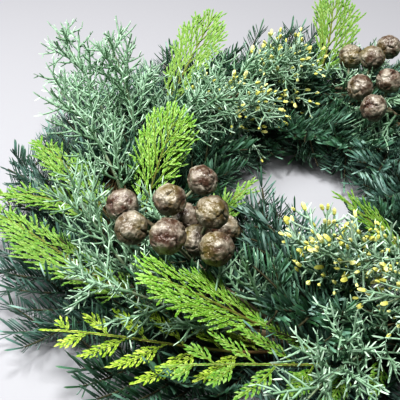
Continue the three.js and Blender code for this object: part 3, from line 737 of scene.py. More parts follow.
def main_stem(skeleton, spray, thick, leaf_from, stops=True, steps=16):
    """Lays the cut end and the main stem. Returns its path and how much of it was laid."""
    cut, path = spray_path(spray)
    points = [path.at(k / steps)[0] for k in range(steps + 1)]
    first = max(1, round(leaf_from * steps))
    facing = perpendicular(UP, path.at(0.5)[1])
    skeleton.add([cut] + points[:first + 1], (thick[0], thick[0]), facing, (0, 0), 0, free=True)
    last = steps
    if stops:
        over = [k for k in range(first + 1, steps + 1)
                if covers(points[k], skeleton.yields, FROND_GAP)]
        last = over[0] - 1 if over else steps
    skeleton.add(points[first:last + 1], thick, facing, (1, 0.9), 0.5, free=True)
    return path, last / steps


print("a side twig of 40 mm has",
      len(side_twig(Vector(), UP, Vector((1, 0, 0)), 50, 40, 0, 5)), "points")

# %% [markdown]
# ## Leaves
# Four small shapes are repeated thousands of times, so each has only a few faces. They point up Z
# and their upper side is +X. Two attributes go with them for the materials: `along`, from 0 at the
# root to 1 at the tip, and `under`, 1 on the lower side.
# - A fir needle is a narrow blade that curves up. Its underside has two white bands.
# - A scale of the golden frond is short and flat, wider in the middle.
# - A spur is the last short thread of the grey cypress.
# - A bud of the budded cypress is a small oval.


# %% Leaf shapes
def leaf_object(name, stations, section, curl=0.0):
    """A closed leaf between two points. stations are (height, half width) from root to tip."""
    mesh = bpy.data.meshes.new(name)
    length = stations[-1][0]
    count = len(section)
    points, along, faces = [Vector()], [0.0], []
    for height, half in stations[1:-1]:
        bend = curl * (height / length) ** 2
        points += [Vector((x * half + bend, y * half, height)) * MM for x, y in section]
        along += [height / length] * count
    points.append(Vector((curl, 0, length)) * MM)
    along.append(1.0)
    tip = len(points) - 1
    for k in range(count):
        after = (k + 1) % count
        faces.append((0, 1 + after, 1 + k))
        for low in range(1, tip - count, count):
            faces.append((low + k, low + after, low + count + after, low + count + k))
        faces.append((tip - count + k, tip - count + after, tip))
    mesh.from_pydata(points, [], faces)
    mesh.attributes.new("along", "FLOAT", "POINT").data.foreach_set("value", along)
    under = [0.3] + [float(x < 0) for x, y in section] * (len(stations) - 2) + [0.3]
    mesh.attributes.new("under", "FLOAT", "POINT").data.foreach_set("value", under)
    return bpy.data.objects.new(name, mesh)


BLADE = ((0.25, -1.0), (0.25, 1.0), (-0.45, 0.0))
FLAT = ((0.4, -1.0), (0.4, 1.0), (-0.6, 0.0))
THREAD = ((1.0, 0.0), (-0.5, 0.87), (-0.5, -0.87))
ROUND = ((1.0, 0.0), (0.0, 1.0), (-1.0, 0.0), (0.0, -1.0))
NEEDLE_LENGTH = 19
SCALE_LENGTH = 4.4
SPUR_LENGTH = 7.0
needle = leaf_object("needle", ((0, 0), (3, 0.85), (16, 1.0), (NEEDLE_LENGTH, 0)), BLADE, 5.0)
scale_leaf = leaf_object("scale_leaf", ((0, 0), (1.9, 0.78), (SCALE_LENGTH, 0)), FLAT, 0.2)
spur = leaf_object("spur", ((0, 0), (1.2, 0.65), (5.6, 0.55), (SPUR_LENGTH, 0)), THREAD, 0.9)
bud = leaf_object("bud", ((0, 0), (1.4, 1.4), (4.0, 1.6), (5.4, 1.0), (6.0, 0)), ROUND)
for shape in (needle, scale_leaf, spur, bud):
    print(shape.name, "has", triangles(shape), "triangles")

# %% [markdown]
# ## Materials
# Each material works from the attributes that the trees leave on the mesh, and from noise over the
# object's own coordinates. `tone` differs from leaf to leaf, as on a live twig. The colours run
# from the dark to the pale ones of each plant.


# %% Material helpers
def new_material(name):
    made = bpy.data.materials.new(name)
    made.use_nodes = True
    made.node_tree.nodes.clear()
    return made, Graph(made.node_tree)


def field(graph, name):
    """A number that the mesh carries, such as along, tone or level."""
    return graph.add("ShaderNodeAttribute", {"attribute_name": name}).other("Fac")


def grain(graph, scale, detail=3.0):
    """Noise from 0 to 1 over the object."""
    where = graph.add("ShaderNodeTexCoord").other("Object")
    return graph.add("ShaderNodeTexNoise", {}, {
        "Vector": where, "Scale": scale, "Detail": detail}).other("Fac")


def ramp(graph, value, places, shades):
    """A colour ramp with one shade at each place."""
    stops = [(place, (*shade, 1)) for place, shade in zip(places, shades)]
    return graph.add("ShaderNodeValToRGB", {"stops": stops}, {"Fac": value})


def mix(graph, share, first, second):
    """A colour between two others."""
    first, second = (term if isinstance(term, Value) else (*term, 1) for term in (first, second))
    return graph.add("ShaderNodeMix", {"data_type": "RGBA"}, {
        "Factor": share, "A": first, "B": second})


def span(graph, value, low, high, to_low=0.0, to_high=1.0):
    """A value moved from one range to another, and held inside it."""
    return graph.add("ShaderNodeMapRange", {}, {
        "Value": value, "From Min": low, "From Max": high, "To Min": to_low, "To Max": to_high})


def surface(made, graph, values, bump=None, depth=0.0003, strength=0.5):
    """Ends a material in a Principled BSDF. bump is a height that goes into its Normal."""
    if bump is not None:
        values["Normal"] = graph.add("ShaderNodeBump", {}, {
            "Strength": strength, "Distance": depth, "Height": bump})
    shader = graph.add("ShaderNodeBsdfPrincipled", {}, values)
    graph.add_end("ShaderNodeOutputMaterial", {"Surface": shader})
    return made


print("material helpers ready")


# %% Finishes of leaves, threads and bark
def needle_finish(name, *greens):
    """Needles: pale at the tip, with white bands on the underside, and painted shade that makes
    them near black at the root.
    """
    made, graph = new_material(name)
    along, under, tone = field(graph, "along"), field(graph, "under"), field(graph, "tone")
    patch = grain(graph, 22.0)
    green = ramp(graph, tone * 0.85 + patch * 0.15, (0.15, 0.5, 0.9), greens)
    tipped = mix(graph, span(graph, along, 0.75, 1.0, 0.0, 0.45), green, (0.30, 0.46, 0.28))
    bands = mix(graph, under * 0.55, tipped, (0.36, 0.50, 0.44))
    # Painted shade: near the root the needles go near black, as the inside of a spray falls in
    # shade.
    root_shaded = mix(graph, span(graph, along, 0.05, 0.6, 0.9, 0.0), bands, (0.012, 0.026, 0.012))
    return surface(made, graph, {"Base Color": root_shaded, "Roughness": 0.42 + patch * 0.2,
                                 "Specular IOR Level": 0.45}, grain(graph, 900.0), 0.0001)


def bark_finish(name, old, young):
    """Bark of a twig: darker and browner on the main stem, paler on the side twigs."""
    made, graph = new_material(name)
    rough = grain(graph, 420.0, 4.0)
    base = mix(graph, span(graph, field(graph, "level"), 0.0, 1.6), old, young)
    worn = mix(graph, span(graph, rough, 0.35, 0.7, 0.0, 0.5), base,
               tuple(part * 0.45 for part in old))
    return surface(made, graph, {"Base Color": worn, "Roughness": 0.72 + rough * 0.15},
                   rough, 0.0005, 0.7)


def thread_finish(name, woody, *greens):
    """Cypress threads: woody where they are thick, pale at the fine ends."""
    made, graph = new_material(name)
    level, tone = field(graph, "level"), field(graph, "tone")
    patch, fine = grain(graph, 30.0), grain(graph, 700.0, 4.0)
    green = ramp(graph, tone * 0.35 + patch * 0.4 + fine * 0.3, (0.2, 0.5, 0.8), greens)
    older = mix(graph, span(graph, level, 0.9, 1.9, 0.55, 0.0), green, greens[0])
    base = mix(graph, span(graph, level, 0.1, 0.9, 1.0, 0.0), older, woody)
    return surface(made, graph, {"Base Color": base, "Roughness": 0.6 + fine * 0.2}, fine,
                   0.0003, 0.6)


def tip_finish(name, *shades):
    """Spurs, scales and buds, which carry along instead of level."""
    made, graph = new_material(name)
    along, tone = field(graph, "along"), field(graph, "tone")
    value = tone * 0.5 + grain(graph, 30.0) * 0.25 + along * 0.3
    return surface(made, graph, {"Base Color": ramp(graph, value, (0.15, 0.5, 0.9), shades),
                                 "Roughness": 0.55 + tone * 0.15}, grain(graph, 900.0), 0.0001)


GREY = (0.15, 0.28, 0.15), (0.45, 0.63, 0.47), (0.76, 0.91, 0.74)
BUDDED_GREY = (0.18, 0.30, 0.18), (0.52, 0.68, 0.54), (0.80, 0.92, 0.80)
FIR_NEEDLES = needle_finish(
    "fir_needles", (0.030, 0.092, 0.036), (0.082, 0.200, 0.118), (0.215, 0.375, 0.285))
SILVER_NEEDLES = needle_finish(
    "silver_needles", (0.050, 0.125, 0.080), (0.165, 0.300, 0.255), (0.430, 0.600, 0.540))
FIR_BARK = bark_finish("fir_bark", (0.060, 0.045, 0.026), (0.095, 0.095, 0.045))
GREY_THREADS = thread_finish("grey_threads", (0.22, 0.18, 0.12), *GREY)
GREY_TIPS = tip_finish("grey_tips", *GREY)
BUDDED_THREADS = thread_finish("budded_threads", (0.20, 0.16, 0.09), *BUDDED_GREY)
BUDDED_TIPS = tip_finish("budded_tips", *BUDDED_GREY)
BUDS = tip_finish("yellow_buds", (0.48, 0.48, 0.10), (0.74, 0.71, 0.20), (0.90, 0.87, 0.45))
GOLD_STEM = thread_finish(
    "golden_stems", (0.20, 0.13, 0.05), (0.12, 0.17, 0.02), (0.26, 0.36, 0.05), (0.40, 0.48, 0.10))
GOLD_LEAF = tip_finish(
    "golden_scales", (0.12, 0.24, 0.012), (0.30, 0.45, 0.035), (0.61, 0.71, 0.18))
GREEN_GOLD_LEAF = tip_finish(
    "green_gold_scales", (0.05, 0.155, 0.013), (0.150, 0.320, 0.040), (0.36, 0.50, 0.18))
# Painted light: a brighter copy of the green-gold scales, for the fronds that stand up into the
# light.
LIT_COPY_GREEN_LEAF = tip_finish(
    "painted_lit_green_scales", (0.08, 0.230, 0.018), (0.235, 0.480, 0.060), (0.54, 0.76, 0.28))
print(len(bpy.data.materials), "materials so far")

# %% [markdown]
# ## Fir sprays
# A fir twig is a loose comb: its needles stand left and right and curve up, and many stray. They
# could be a texture on strips, but they are seen from 40 cm and against the light, so each is a
# real blade of 12 triangles. Side twigs leave the stem left and right in turn. Some sprays have
# the silvery needles of young growth.
# Stems alone would leave the straw bare, so three short branches climb over it from the foot of
# each spray: its crowns. Two more spread in a fan from an outer spray, and twigs hang into the
# shade under an inner one.

# %% Grow the firs
FIR_LEAVES = {
    "Leaf": needle, "End": needle, "Pitch": 1.1 * MM, "Spread": math.radians(56),
    "First": math.radians(90), "Stray": 0.5, "Lift": 0.5, "Flat": 0.6, "Smallest": 0.72,
    "Largest": 0.98, "Reach": NEEDLE_LENGTH * MM, "More guards": frond_guards,
    "More gap": FROND_GAP * MM, "Bark finish": FIR_BARK,
}
SILVER_ONES = (1, 4, 9, 12, 14, 15, 18, 21, 22)
OUTER_CROWNS = ((52, 17), (84, 17), (118, 7))
INNER_CROWNS = ((84, 14), (120, 6), (150, 6))
CROWN_STEPS = 8
CROWN_REACH = 21
FAN_LENGTH = 92
LONG_TWIG = 70
SHORT_TWIG = 46
SIDE_TWIGS = 11


def over_the_straw(spray, start, drift, crown, rise):
    """Points of a branch that climbs from a stem's start over the straw, clockwise."""
    points = [start]
    for step in range(1, CROWN_STEPS + 1):
        share = step / CROWN_STEPS
        slot = spray["slot"] + (crown - spray["slot"]) * share ** 0.8
        reach = CROWN_REACH + rise * math.sin(share * 2.2)
        points.append(straw_point(spray["turn"] - 6 - drift * share, slot, reach))
    return points


def add_branch(skeleton, rng, points, forks, length, thick=(1.2, 0.7), leafy=(0.8, 0.9)):
    """A branch with short twigs left and right of it."""
    laid = skeleton.add(points, thick, UP, leafy, 1)
    for k in range(forks if len(laid) > 5 else 0):
        joint = 1 + round((len(laid) - 3) * k / forks)
        onward = (laid[joint + 1] - laid[joint]).normalized()
        side = perpendicular(UP.cross(onward) * hand(k) + UP * 0.35, onward)
        twig = side_twig(laid[joint], onward, side, 48, length * rng.uniform(0.8, 1.1), 0.1, 4)
        skeleton.add(twig, (0.8, 0.5), perpendicular(UP, onward), (0.9, 0.8), 2)


def add_needled_twig(skeleton, rng, path, share, k, longest):
    """A side twig of a fir, with one fork near its foot."""
    start, ahead = path.at(share)
    side = perpendicular(UP.cross(ahead), ahead) * hand(k)
    side = perpendicular(side + UP * rng.uniform(-0.1, 0.45), ahead)
    length = (longest - longest / 2 * share) * rng.uniform(0.85, 1.1)
    points = side_twig(start, ahead, side, rng.uniform(42, 56), length, 0.12, 6)
    laid = skeleton.add(points, (1.0, 0.6), perpendicular(UP, ahead), (1, 0.85), 1)
    if len(laid) > 4 and share < 0.8:
        onward = (laid[3] - laid[2]).normalized()
        fork = perpendicular(side.cross(onward) * rng.choice((-1, 1)) + UP * 0.3, onward)
        points = side_twig(laid[2], onward, fork, 48, length * 0.45, 0.1, 4)
        skeleton.add(points, (0.8, 0.5), perpendicular(UP, onward), (0.9, 0.8), 2)


def hang_twigs(skeleton, rng, path):
    """A branch towards the hole, and low twigs that fill the shade under an inner spray."""
    start, ahead = path.at(0.3)
    points = side_twig(start, ahead, perpendicular(towards_hole(start), ahead), 75, 60, -0.1, 8)
    add_branch(skeleton, rng, points, 5, 28, (1.1, 0.7), (1, 0.9))
    for share in (0.3, 0.5, 0.7, 0.88):
        start, ahead = path.at(share)
        down = perpendicular(towards_hole(start).normalized() * 0.35 - UP, ahead)
        points = side_twig(start, ahead, down, 60, start.z * 0.95, -0.25, 5)
        skeleton.add(points, (0.9, 0.6), perpendicular(UP, ahead), (1, 0.85), 1)


def grow_fir(name, spray, seed):
    skeleton = Skeleton(FROND_GUARDS)
    rng = random.Random(seed)
    inner = spray["slot"] == INNER_SLOT
    path, open_share = main_stem(skeleton, spray, (STEM_RADIUS, 0.9), 0.1)
    for crown, rise in OUTER_CROWNS if spray["slot"] < 90 else INNER_CROWNS:
        points = over_the_straw(spray, path.at(0.06)[0], rng.uniform(25, 38), crown, rise)
        add_branch(skeleton, rng, points, 4, 30)
    if spray["slot"] == OUTER_SLOT:
        start, ahead = path.at(0.14)
        for way in (1, -1):
            side = perpendicular(UP.cross(ahead) * way, ahead)
            points = side_twig(start, ahead, side, 40, FAN_LENGTH, 0.06, 8)
            add_branch(skeleton, rng, points, 5, 34)
    for k in range(SIDE_TWIGS):
        share = 0.1 + 0.85 * k / SIDE_TWIGS + rng.uniform(-0.02, 0.02)
        if share > open_share:
            break
        longest = SHORT_TWIG if inner and k % 2 == 0 else LONG_TWIG
        add_needled_twig(skeleton, rng, path, share, k, longest)
    if inner:
        hang_twigs(skeleton, rng, path)
    needles = SILVER_NEEDLES if int(name[-2:]) in SILVER_ONES else FIR_NEEDLES
    finish = {"Leaf finish": needles, "End finish": needles, "Seed": seed}
    return grow(name, skeleton, {**FIR_LEAVES, **finish})


finest = [grow_fir(f"fir_spray_{k + 1:02}", spray, 100 + k) for k, spray in enumerate(FIRS)]
print(len(finest), "firs with", sum(map(triangles, finest)), "triangles")

# %% [markdown]
# ## Cypress sprays
# Grey cypress looks like wire wool: thin threads fork again and again, all round the stem. Twigs
# leave the stem at the golden angle, threads fork off them to both hands, and the tree adds the
# last short spurs. Fewer, thicker tubes would show as sticks. The budded kind ends most threads in
# a small yellow bud.

# %% Grow the cypresses
CYPRESS_LEAVES = {
    "Sides": 4, "Leaf": spur, "End": spur, "End share": 0.6, "Pitch": 3.9 * MM,
    "Spread": math.radians(52), "Stray": 0.8, "Lift": 0.25, "Flat": 0.3, "Smallest": 0.5,
    "Largest": 1.2, "Reach": SPUR_LENGTH * MM, "More guards": front_guards,
    "More gap": FROND_GAP * MM, "Bark finish": GREY_THREADS, "Leaf finish": GREY_TIPS,
    "End finish": GREY_TIPS,
}
BUDDED_LEAVES = {
    **CYPRESS_LEAVES, "End": bud, "End share": 0.8, "Pitch": 4.4 * MM,
    "Bark finish": BUDDED_THREADS, "Leaf finish": BUDDED_TIPS, "End finish": BUDS,
}
GOLDEN_ANGLE = 137.5


def around(ahead, angle):
    """A direction square to the way ahead, at an angle round it from the upper side."""
    return Quaternion(ahead, math.radians(angle)) @ perpendicular(UP, ahead)


def forked_twig(skeleton, rng, start, ahead, side, spread, length, rise):
    """A twig with threads that fork off to both hands."""
    points = side_twig(start, ahead, side, spread, length, rise, 8)
    laid = skeleton.add(points, (1.25, 0.8), perpendicular(UP, ahead), (0.5, 1), 1)
    forks = max(2, round(length / 6))
    for fork in range(forks):
        joint = (0.18 + 0.78 * fork / forks) * (len(points) - 1)
        if joint >= len(laid) - 1:
            break
        root, onward = point_along(laid, joint)
        turned = around(onward, 90 + 180 * fork + rng.uniform(-70, 70))
        reach = (25 - 14 * fork / forks) * rng.uniform(0.6, 1.15)
        fine = side_twig(root, onward, turned, rng.uniform(40, 66), reach, 0.1, 3)
        skeleton.add(fine, (0.95, 0.65), perpendicular(UP, onward), (1, 0.8), 2)


def thread_twigs(skeleton, rng, path, count, first, longest, shortest):
    """Forked twigs all round a stem."""
    for k in range(count):
        share = first + (0.96 - first) * k / count
        start, ahead = path.at(share)
        side = perpendicular(around(ahead, GOLDEN_ANGLE * k) + UP * 0.35, ahead)
        length = (longest + (shortest - longest) * share) * rng.uniform(0.8, 1.15)
        forked_twig(skeleton, rng, start, ahead, side, rng.uniform(36, 58), length, 0.2)


def hang_threads(skeleton, rng, path, shares, level):
    """Forked twigs that reach inwards and down from a stem, over the inside of the straw."""
    for share in shares:
        start, ahead = path.at(share)
        side = perpendicular(towards_hole(start).normalized() * level - UP, ahead)
        forked_twig(skeleton, rng, start, ahead, side, 72, 56, -0.2)


def grow_cypress(name, spray, seed, leaves):
    skeleton = Skeleton(FRONT_GUARDS)
    path, _ = main_stem(skeleton, spray, (1.6, 0.7), 0.16, stops=False)
    rng = random.Random(seed)
    thread_twigs(skeleton, rng, path, 15, 0.16, 58, 24)
    if spray["slot"] > 90:
        hang_threads(skeleton, rng, path, (0.35, 0.6), 0.8)
    return grow(name, skeleton, {**leaves, "Seed": seed})


finest = []
for kind, sprays, seed, leaves in (("grey", CYPRESSES, 200, CYPRESS_LEAVES),
                                   ("budded", BUDDED, 300, BUDDED_LEAVES)):
    for k, spray in enumerate(sprays):
        finest.append(grow_cypress(f"{kind}_cypress_{k + 1:02}", spray, seed + k, leaves))
print(len(finest), "cypress sprays with", sum(map(triangles, finest)), "triangles")

# %% [markdown]
# ## Golden fronds
# A frond of the golden false cypress is as flat as a fern. Branches leave the stem left and right
# in its plane, and branchlets leave those on both sides in turn, shorter towards the tip. All of
# them are clad in overlapping scales, so the tree lays flat scales in two rows along every twig.
# There are two kinds: lacy ones, whose branches stand far apart and bear many short branchlets,
# and long ones, whose branches and branchlets lie close along the stem. Some are narrower than
# others, often more on one side than on the other. A picture of a frond on a flat card would be
# lighter, but it would show as a card from the side.

# %% Grow the fronds
FROND_LEAVES = {
    "Sides": 4, "Leaf": scale_leaf, "End": scale_leaf, "Pitch": 1.4 * MM,
    "Spread": math.radians(11), "First": math.radians(90), "Stray": 0.1, "Lift": 0.06,
    "Flat": 5.0, "Smallest": 0.85, "Largest": 1.15, "Reach": SCALE_LENGTH * MM,
    "Bark finish": GOLD_STEM,
}
LACY_ONES = ("golden_frond_06", "golden_frond_07", "golden_frond_14")
# Fronds 04 and 05 stand high and upright, so they get the brighter copy of the green-gold scales:
# painted light.
LEAVES = {"golden_frond_06": GOLD_LEAF, "golden_frond_14": GOLD_LEAF,
          "golden_frond_04": LIT_COPY_GREEN_LEAF, "golden_frond_05": LIT_COPY_GREEN_LEAF}
WIDTHS = {0: (0.42, 0.72), 1: (0.4, 0.6), 2: (0.6, 0.85), 5: (0.75, 0.95), 9: (0.6, 0.5),
          10: (0.45, 0.45), 11: (0.42, 0.72), 12: (0.4, 0.6), 13: (0.6, 0.85)}
LACY = {"pitch": 12.5, "spread": 46, "fork_pitch": 3.5, "fork_length": 13, "fork_spread": 36}
LONG = {"pitch": 6.4, "spread": 27, "fork_pitch": 8.5, "fork_length": 23, "fork_spread": 20}
BRANCH_LENGTH = 64


def branchlet(laid, joint, upper, side, spread, reach, steps):
    """Points of a branchlet in the frond's plane. side is 1 or -1."""
    root, onward = point_along(laid, joint)
    across = perpendicular(upper.cross(onward), onward) * side
    return side_twig(root, onward, across, spread, reach, 0.0, steps)


def grow_frond(name, spray, seed, widths):
    skeleton = Skeleton()
    rng = random.Random(seed)
    path, _ = main_stem(skeleton, spray, (1.4, 0.5), 0.2)
    kind = LACY if name in LACY_ONES else LONG
    steps = round(path.length * 0.9 / kind["pitch"])
    for k in range(steps):
        share = 0.08 + 0.9 * k / steps
        start, ahead = path.at(share)
        upper = perpendicular(UP, ahead)
        side = perpendicular(upper.cross(ahead) * hand(k) + upper * 0.12, ahead)
        full = BRANCH_LENGTH * min(1, 0.6 + 1.6 * (share - 0.08)) * min(1, 1.35 * (1.06 - share))
        full *= widths[k % 2]
        points = side_twig(start, ahead, side, kind["spread"], full * rng.uniform(0.88, 1.08),
                           0.02, 6)
        laid = skeleton.add(points, (0.75, 0.5), upper, (0.8, 1), 1)
        forks = max(1, round(full / kind["fork_pitch"]))
        for fork in range(forks):
            place = 0.14 + 0.78 * fork / forks
            joint = place * (len(points) - 1)
            if joint >= len(laid) - 1:
                break
            reach = (kind["fork_length"] - 11 * place) * (0.5 + 0.5 * full / BRANCH_LENGTH)
            reach *= rng.uniform(0.75, 1.2)
            fine = branchlet(laid, joint, upper, hand(fork), kind["fork_spread"], reach, 3)
            fine = skeleton.add(fine, (0.5, 0.42), upper, (0.95, 0.8), 2)
            if len(fine) == 4 and reach > 10:
                joint = rng.uniform(0.8, 1.4)
                last = branchlet(fine, joint, upper, rng.choice((-1, 1)), 38, reach * 0.45, 2)
                skeleton.add(last, (0.45, 0.4), upper, (0.85, 0.75), 2)
    leaf = LEAVES.get(name, GREEN_GOLD_LEAF)
    finish = {"Leaf finish": leaf, "End finish": leaf, "Seed": seed}
    return grow(name, skeleton, {**FROND_LEAVES, **finish})


finest = [grow_frond(f"golden_frond_{k + 1:02}", spray, 400 + k, WIDTHS.get(k, (1, 1)))
          for k, spray in enumerate(FRONDS)]
print(len(finest), "fronds with", sum(map(triangles, finest)), "triangles")

# %% [markdown]
# ## Cones
# A ripe cypress cone is a ball of twelve woody shields that meet in deep grooves, and each has a
# blunt boss in its middle. The twelve middles lie as on an icosahedron. The shields come from the
# distance to the nearest two middles: where both are the same there is a groove. Doing this on the
# mesh and not in the material keeps the cones lumpy against the light.
# Each cone sits on a stalk from the branch. The branch bears grey foliage of its own, which fills
# the gaps round the cones, and one mesh holds all of it.

# %% Cone shapes
CONE_DETAIL = 5
SHIELD_STRAY = 0.16
GAPING_DRAWS = 14
GROOVE_WIDTH, GAPING_WIDTH = 0.15, 0.3
GROOVE_DEPTH, GAPING_DEPTH = 0.11, 0.2
SHIELD_HEIGHT = 0.86
BOSS_WIDTH, BOSS_HEIGHT = 0.12, 0.03
NOISE_SEED = 1795875891

noise.seed_set(NOISE_SEED)


def cone_middles(rng):
    """Directions of the twelve shields, a little uneven."""
    golden = (1 + math.sqrt(5)) / 2
    middles = []
    for a in (1, -1):
        for b in (golden, -golden):
            middles += [Vector((0, a, b)), Vector((a, b, 0)), Vector((b, 0, a))]
    return [(middle.normalized() + Vector([rng.uniform(-SHIELD_STRAY, SHIELD_STRAY)
                                           for _ in range(3)])).normalized()
            for middle in middles]


def angle_between(one, two):
    return math.acos(max(-1.0, min(1.0, one.dot(two))))


def cone_mesh(name, axis, rng):
    """One cone round the origin, in millimetres. It stores how deep in a groove each point is,
    which the material paints as shade.
    """
    shape = bmesh.new()
    bmesh.ops.create_icosphere(shape, subdivisions=CONE_DETAIL, radius=1)
    middles = cone_middles(rng)
    weights = [rng.uniform(-0.09, 0.09) for _ in middles]
    rises = [rng.uniform(-0.03, 0.02) for _ in middles]
    gaping = {tuple(sorted(rng.sample(range(len(middles)), 2))) for _ in range(GAPING_DRAWS)}
    origin = Vector([rng.uniform(0, 50) for _ in range(3)])
    turn = UP.rotation_difference(axis) @ Quaternion(UP, rng.uniform(0, 6.28))
    squash = rng.uniform(0.9, 1.0)
    grooves, heights = [], []
    for vertex in shape.verts:
        direction = vertex.co.normalized()
        bent = direction + noise.noise_vector(direction * 1.7 + origin) * 0.2
        bent = (bent + noise.noise_vector(direction * 6 + origin) * 0.05).normalized()
        away = sorted((angle_between(bent, middle) - weights[k], k)
                      for k, middle in enumerate(middles))
        (nearest, k), (second, other) = away[0], away[1]
        wide = tuple(sorted((k, other))) in gaping
        rim = min(1.0, (second - nearest) / (GAPING_WIDTH if wide else GROOVE_WIDTH))
        dome = math.sqrt(1 - (1 - rim) ** 2)
        boss = math.exp(-((nearest + weights[k]) / BOSS_WIDTH) ** 2)
        lines = noise.noise((bent - middles[k]).normalized() * 5 + origin) * 0.028 * dome
        lumps = noise.noise(direction * 2.4 + origin) * 0.06
        grit = noise.noise(direction * 8 + origin) * 0.03
        sunk = (GAPING_DEPTH if wide else GROOVE_DEPTH) * (1 - dome)
        reach = SHIELD_HEIGHT + rises[k] - sunk + BOSS_HEIGHT * boss + lines + lumps + grit
        point = direction * (CONE_SIZE / 2 * min(1.0, reach))
        point.z *= squash
        vertex.co = turn @ point
        # Painted shade: how deep in a groove, deeper still in the gaping ones, for the material to
        # darken.
        grooves.append((1 - dome) * (1.0 if wide else 0.6))
        heights.append(boss)
    mesh = bpy.data.meshes.new(name)
    shape.to_mesh(mesh)
    shape.free()
    mesh.attributes.new("groove", "FLOAT", "POINT").data.foreach_set("value", grooves)
    mesh.attributes.new("boss", "FLOAT", "POINT").data.foreach_set("value", heights)
    mesh.polygons.foreach_set("use_smooth", [True] * len(mesh.polygons))
    return mesh


def cone_finish():
    """Brown bark, olive or red in patches and greyer where it is worn. Painted shade makes it near
    black in the grooves, and a painted highlight makes the bosses paler.
    """
    made, graph = new_material("cone_bark")
    groove, boss = field(graph, "groove"), field(graph, "boss")
    broad, patch, fine = grain(graph, 30.0, 2.0), grain(graph, 130.0, 2.0), grain(graph, 460.0, 3.0)
    hue = ramp(graph, broad, (0.36, 0.5, 0.64), (
        (0.102, 0.054, 0.036), (0.105, 0.068, 0.046), (0.160, 0.122, 0.042)))
    worn = mix(graph, span(graph, patch * 0.75 + fine * 0.25, 0.42, 0.7, 0.0, 0.85), hue,
               (0.56, 0.52, 0.43))
    # Painted highlight: the boss in the middle of each shield is paler, as if it caught the light.
    painted_boss_highlight = mix(graph, boss * 0.4, worn, (0.40, 0.32, 0.23))
    # Painted shade: the grooves go near black, darkest in the gaping ones.
    deep = mix(graph, span(graph, groove, 0.2, 0.75), painted_boss_highlight, (0.022, 0.011, 0.007))
    return surface(made, graph, {"Base Color": deep, "Roughness": 0.25 + fine * 0.2,
                                 "Specular IOR Level": 0.65},
                   fine * 0.35 + patch * 0.8, 0.0028, 0.9)


CONE_BARK = cone_finish()
print("a cone has", 20 * 4 ** (CONE_DETAIL - 1), "triangles")

# %% Grow the cones
BRANCH_STEPS = 20
STALK_STEPS = 8
FIRST_STALK = 4


def joined(first, others):
    """Adds placed meshes to an object, in its last material."""
    whole = bmesh.new()
    whole.from_mesh(first.data)
    last = len(first.data.materials) - 1
    for mesh, place in others:
        mesh.transform(place)
        mesh.polygons.foreach_set("material_index", [last] * len(mesh.polygons))
        whole.from_mesh(mesh)
    whole.to_mesh(first.data)
    whole.free()


def stalk_points(path, centre):
    """A stalk from the nearest place on the branch to the middle of a cone."""
    joint = min(range(FIRST_STALK, BRANCH_STEPS + 1),
                key=lambda step: (path.at(step / BRANCH_STEPS)[0] - centre).length)
    foot, ahead = path.at(joint / BRANCH_STEPS)
    corners = [foot, foot + ahead * 4 + (centre - foot) * 0.3, foot.lerp(centre, 0.7), centre]
    return [Path.bezier(corners, step / STALK_STEPS) for step in range(STALK_STEPS + 1)]


def grow_cones(name, branch, seed):
    rng = random.Random(seed)
    skeleton = Skeleton()
    cut, path = spray_path(branch)
    line = [cut] + [path.at(k / BRANCH_STEPS)[0] for k in range(BRANCH_STEPS + 1)]
    facing = straw_normal(branch["turn"], branch["slot"])
    skeleton.add(line, (STEM_RADIUS, 1.5), facing, (0, 0), 0, free=True)
    cones = []
    for k, place in enumerate(branch["cones"]):
        centre = Vector(place)
        stalk = stalk_points(path, centre)
        skeleton.add(stalk, (1.1, 1.4), facing, (0, 0), 0.35, free=True)
        mesh = cone_mesh(f"cone_{seed}_{k}", (centre - stalk[-2]).normalized(), rng)
        cones.append((mesh, Matrix.Translation(in_frame(centre)) @ Matrix.Scale(MM, 4)))
    thread_twigs(skeleton, rng, path, 10, 0.1, 52, 34)
    hang_threads(skeleton, rng, path, (0.72, 0.86, 0.99), 2.0)
    piece = grow(name, skeleton, {**CYPRESS_LEAVES, "Sides": 6, "Seed": seed})
    piece.data.materials.append(CONE_BARK)
    joined(piece, cones)
    return piece


finest = [grow_cones(name, branch, 500 + k)
          for k, (name, branch) in enumerate(CONE_BRANCHES.items())]
print(len(finest), "branches of cones with", sum(map(triangles, finest)), "triangles")

# %% [markdown]
# ## Straw ring and wire
# A florist's ring is straw pressed into a rope and wound with thread. Here it is a plain rope with
# a few hundred straws laid on it, a little askew. The wire is one long chain of points wound over
# the rope and the stems, as in the CAD source. Both go through the same tree as leafless twigs,
# with a pitch so long that it hardly spends time on leaves that are left out.

# %% Lay the straw and wind the wire
STRAWS = 300
STRAW_STEPS = 6
WAIST_WIDTH = 10
CORE_RADIUS = STRAW_RADIUS - 2.6
WIRE_RADIUS = 0.6
LOOP = ((16.2, (247.5, 292.5)), (20.4, (337.5, 22.5, 67.5, 112.5, 157.5, 202.5)))
CROSSING_SLOT, CROSSING_REACH, CROSSING_TURNS = 225, 17.55, (8, 22)
LEAFLESS = {"Pitch": 100 * MM}


def straw_finish():
    made, graph = new_material("straw")
    fine = grain(graph, 500.0, 3.0)
    shade = ramp(graph, field(graph, "level") * 0.7 + fine * 0.3, (0.1, 0.5, 0.9), (
        (0.15, 0.11, 0.055), (0.32, 0.25, 0.13), (0.52, 0.43, 0.25)))
    return surface(made, graph, {"Base Color": shade, "Roughness": 0.55}, fine, 0.0003)


def wire_finish():
    made, graph = new_material("green_wire")
    shade = mix(graph, grain(graph, 300.0), (0.030, 0.050, 0.028), (0.060, 0.085, 0.050))
    return surface(made, graph, {"Base Color": shade, "Metallic": 0.4, "Roughness": 0.4})


def waist_at(angle):
    """1 under a turn of the wire, and 0 between two turns."""
    off_wire = abs((angle + TURN_STEP / 2) % TURN_STEP - TURN_STEP / 2)
    return max(0, 1 - off_wire / WAIST_WIDTH)


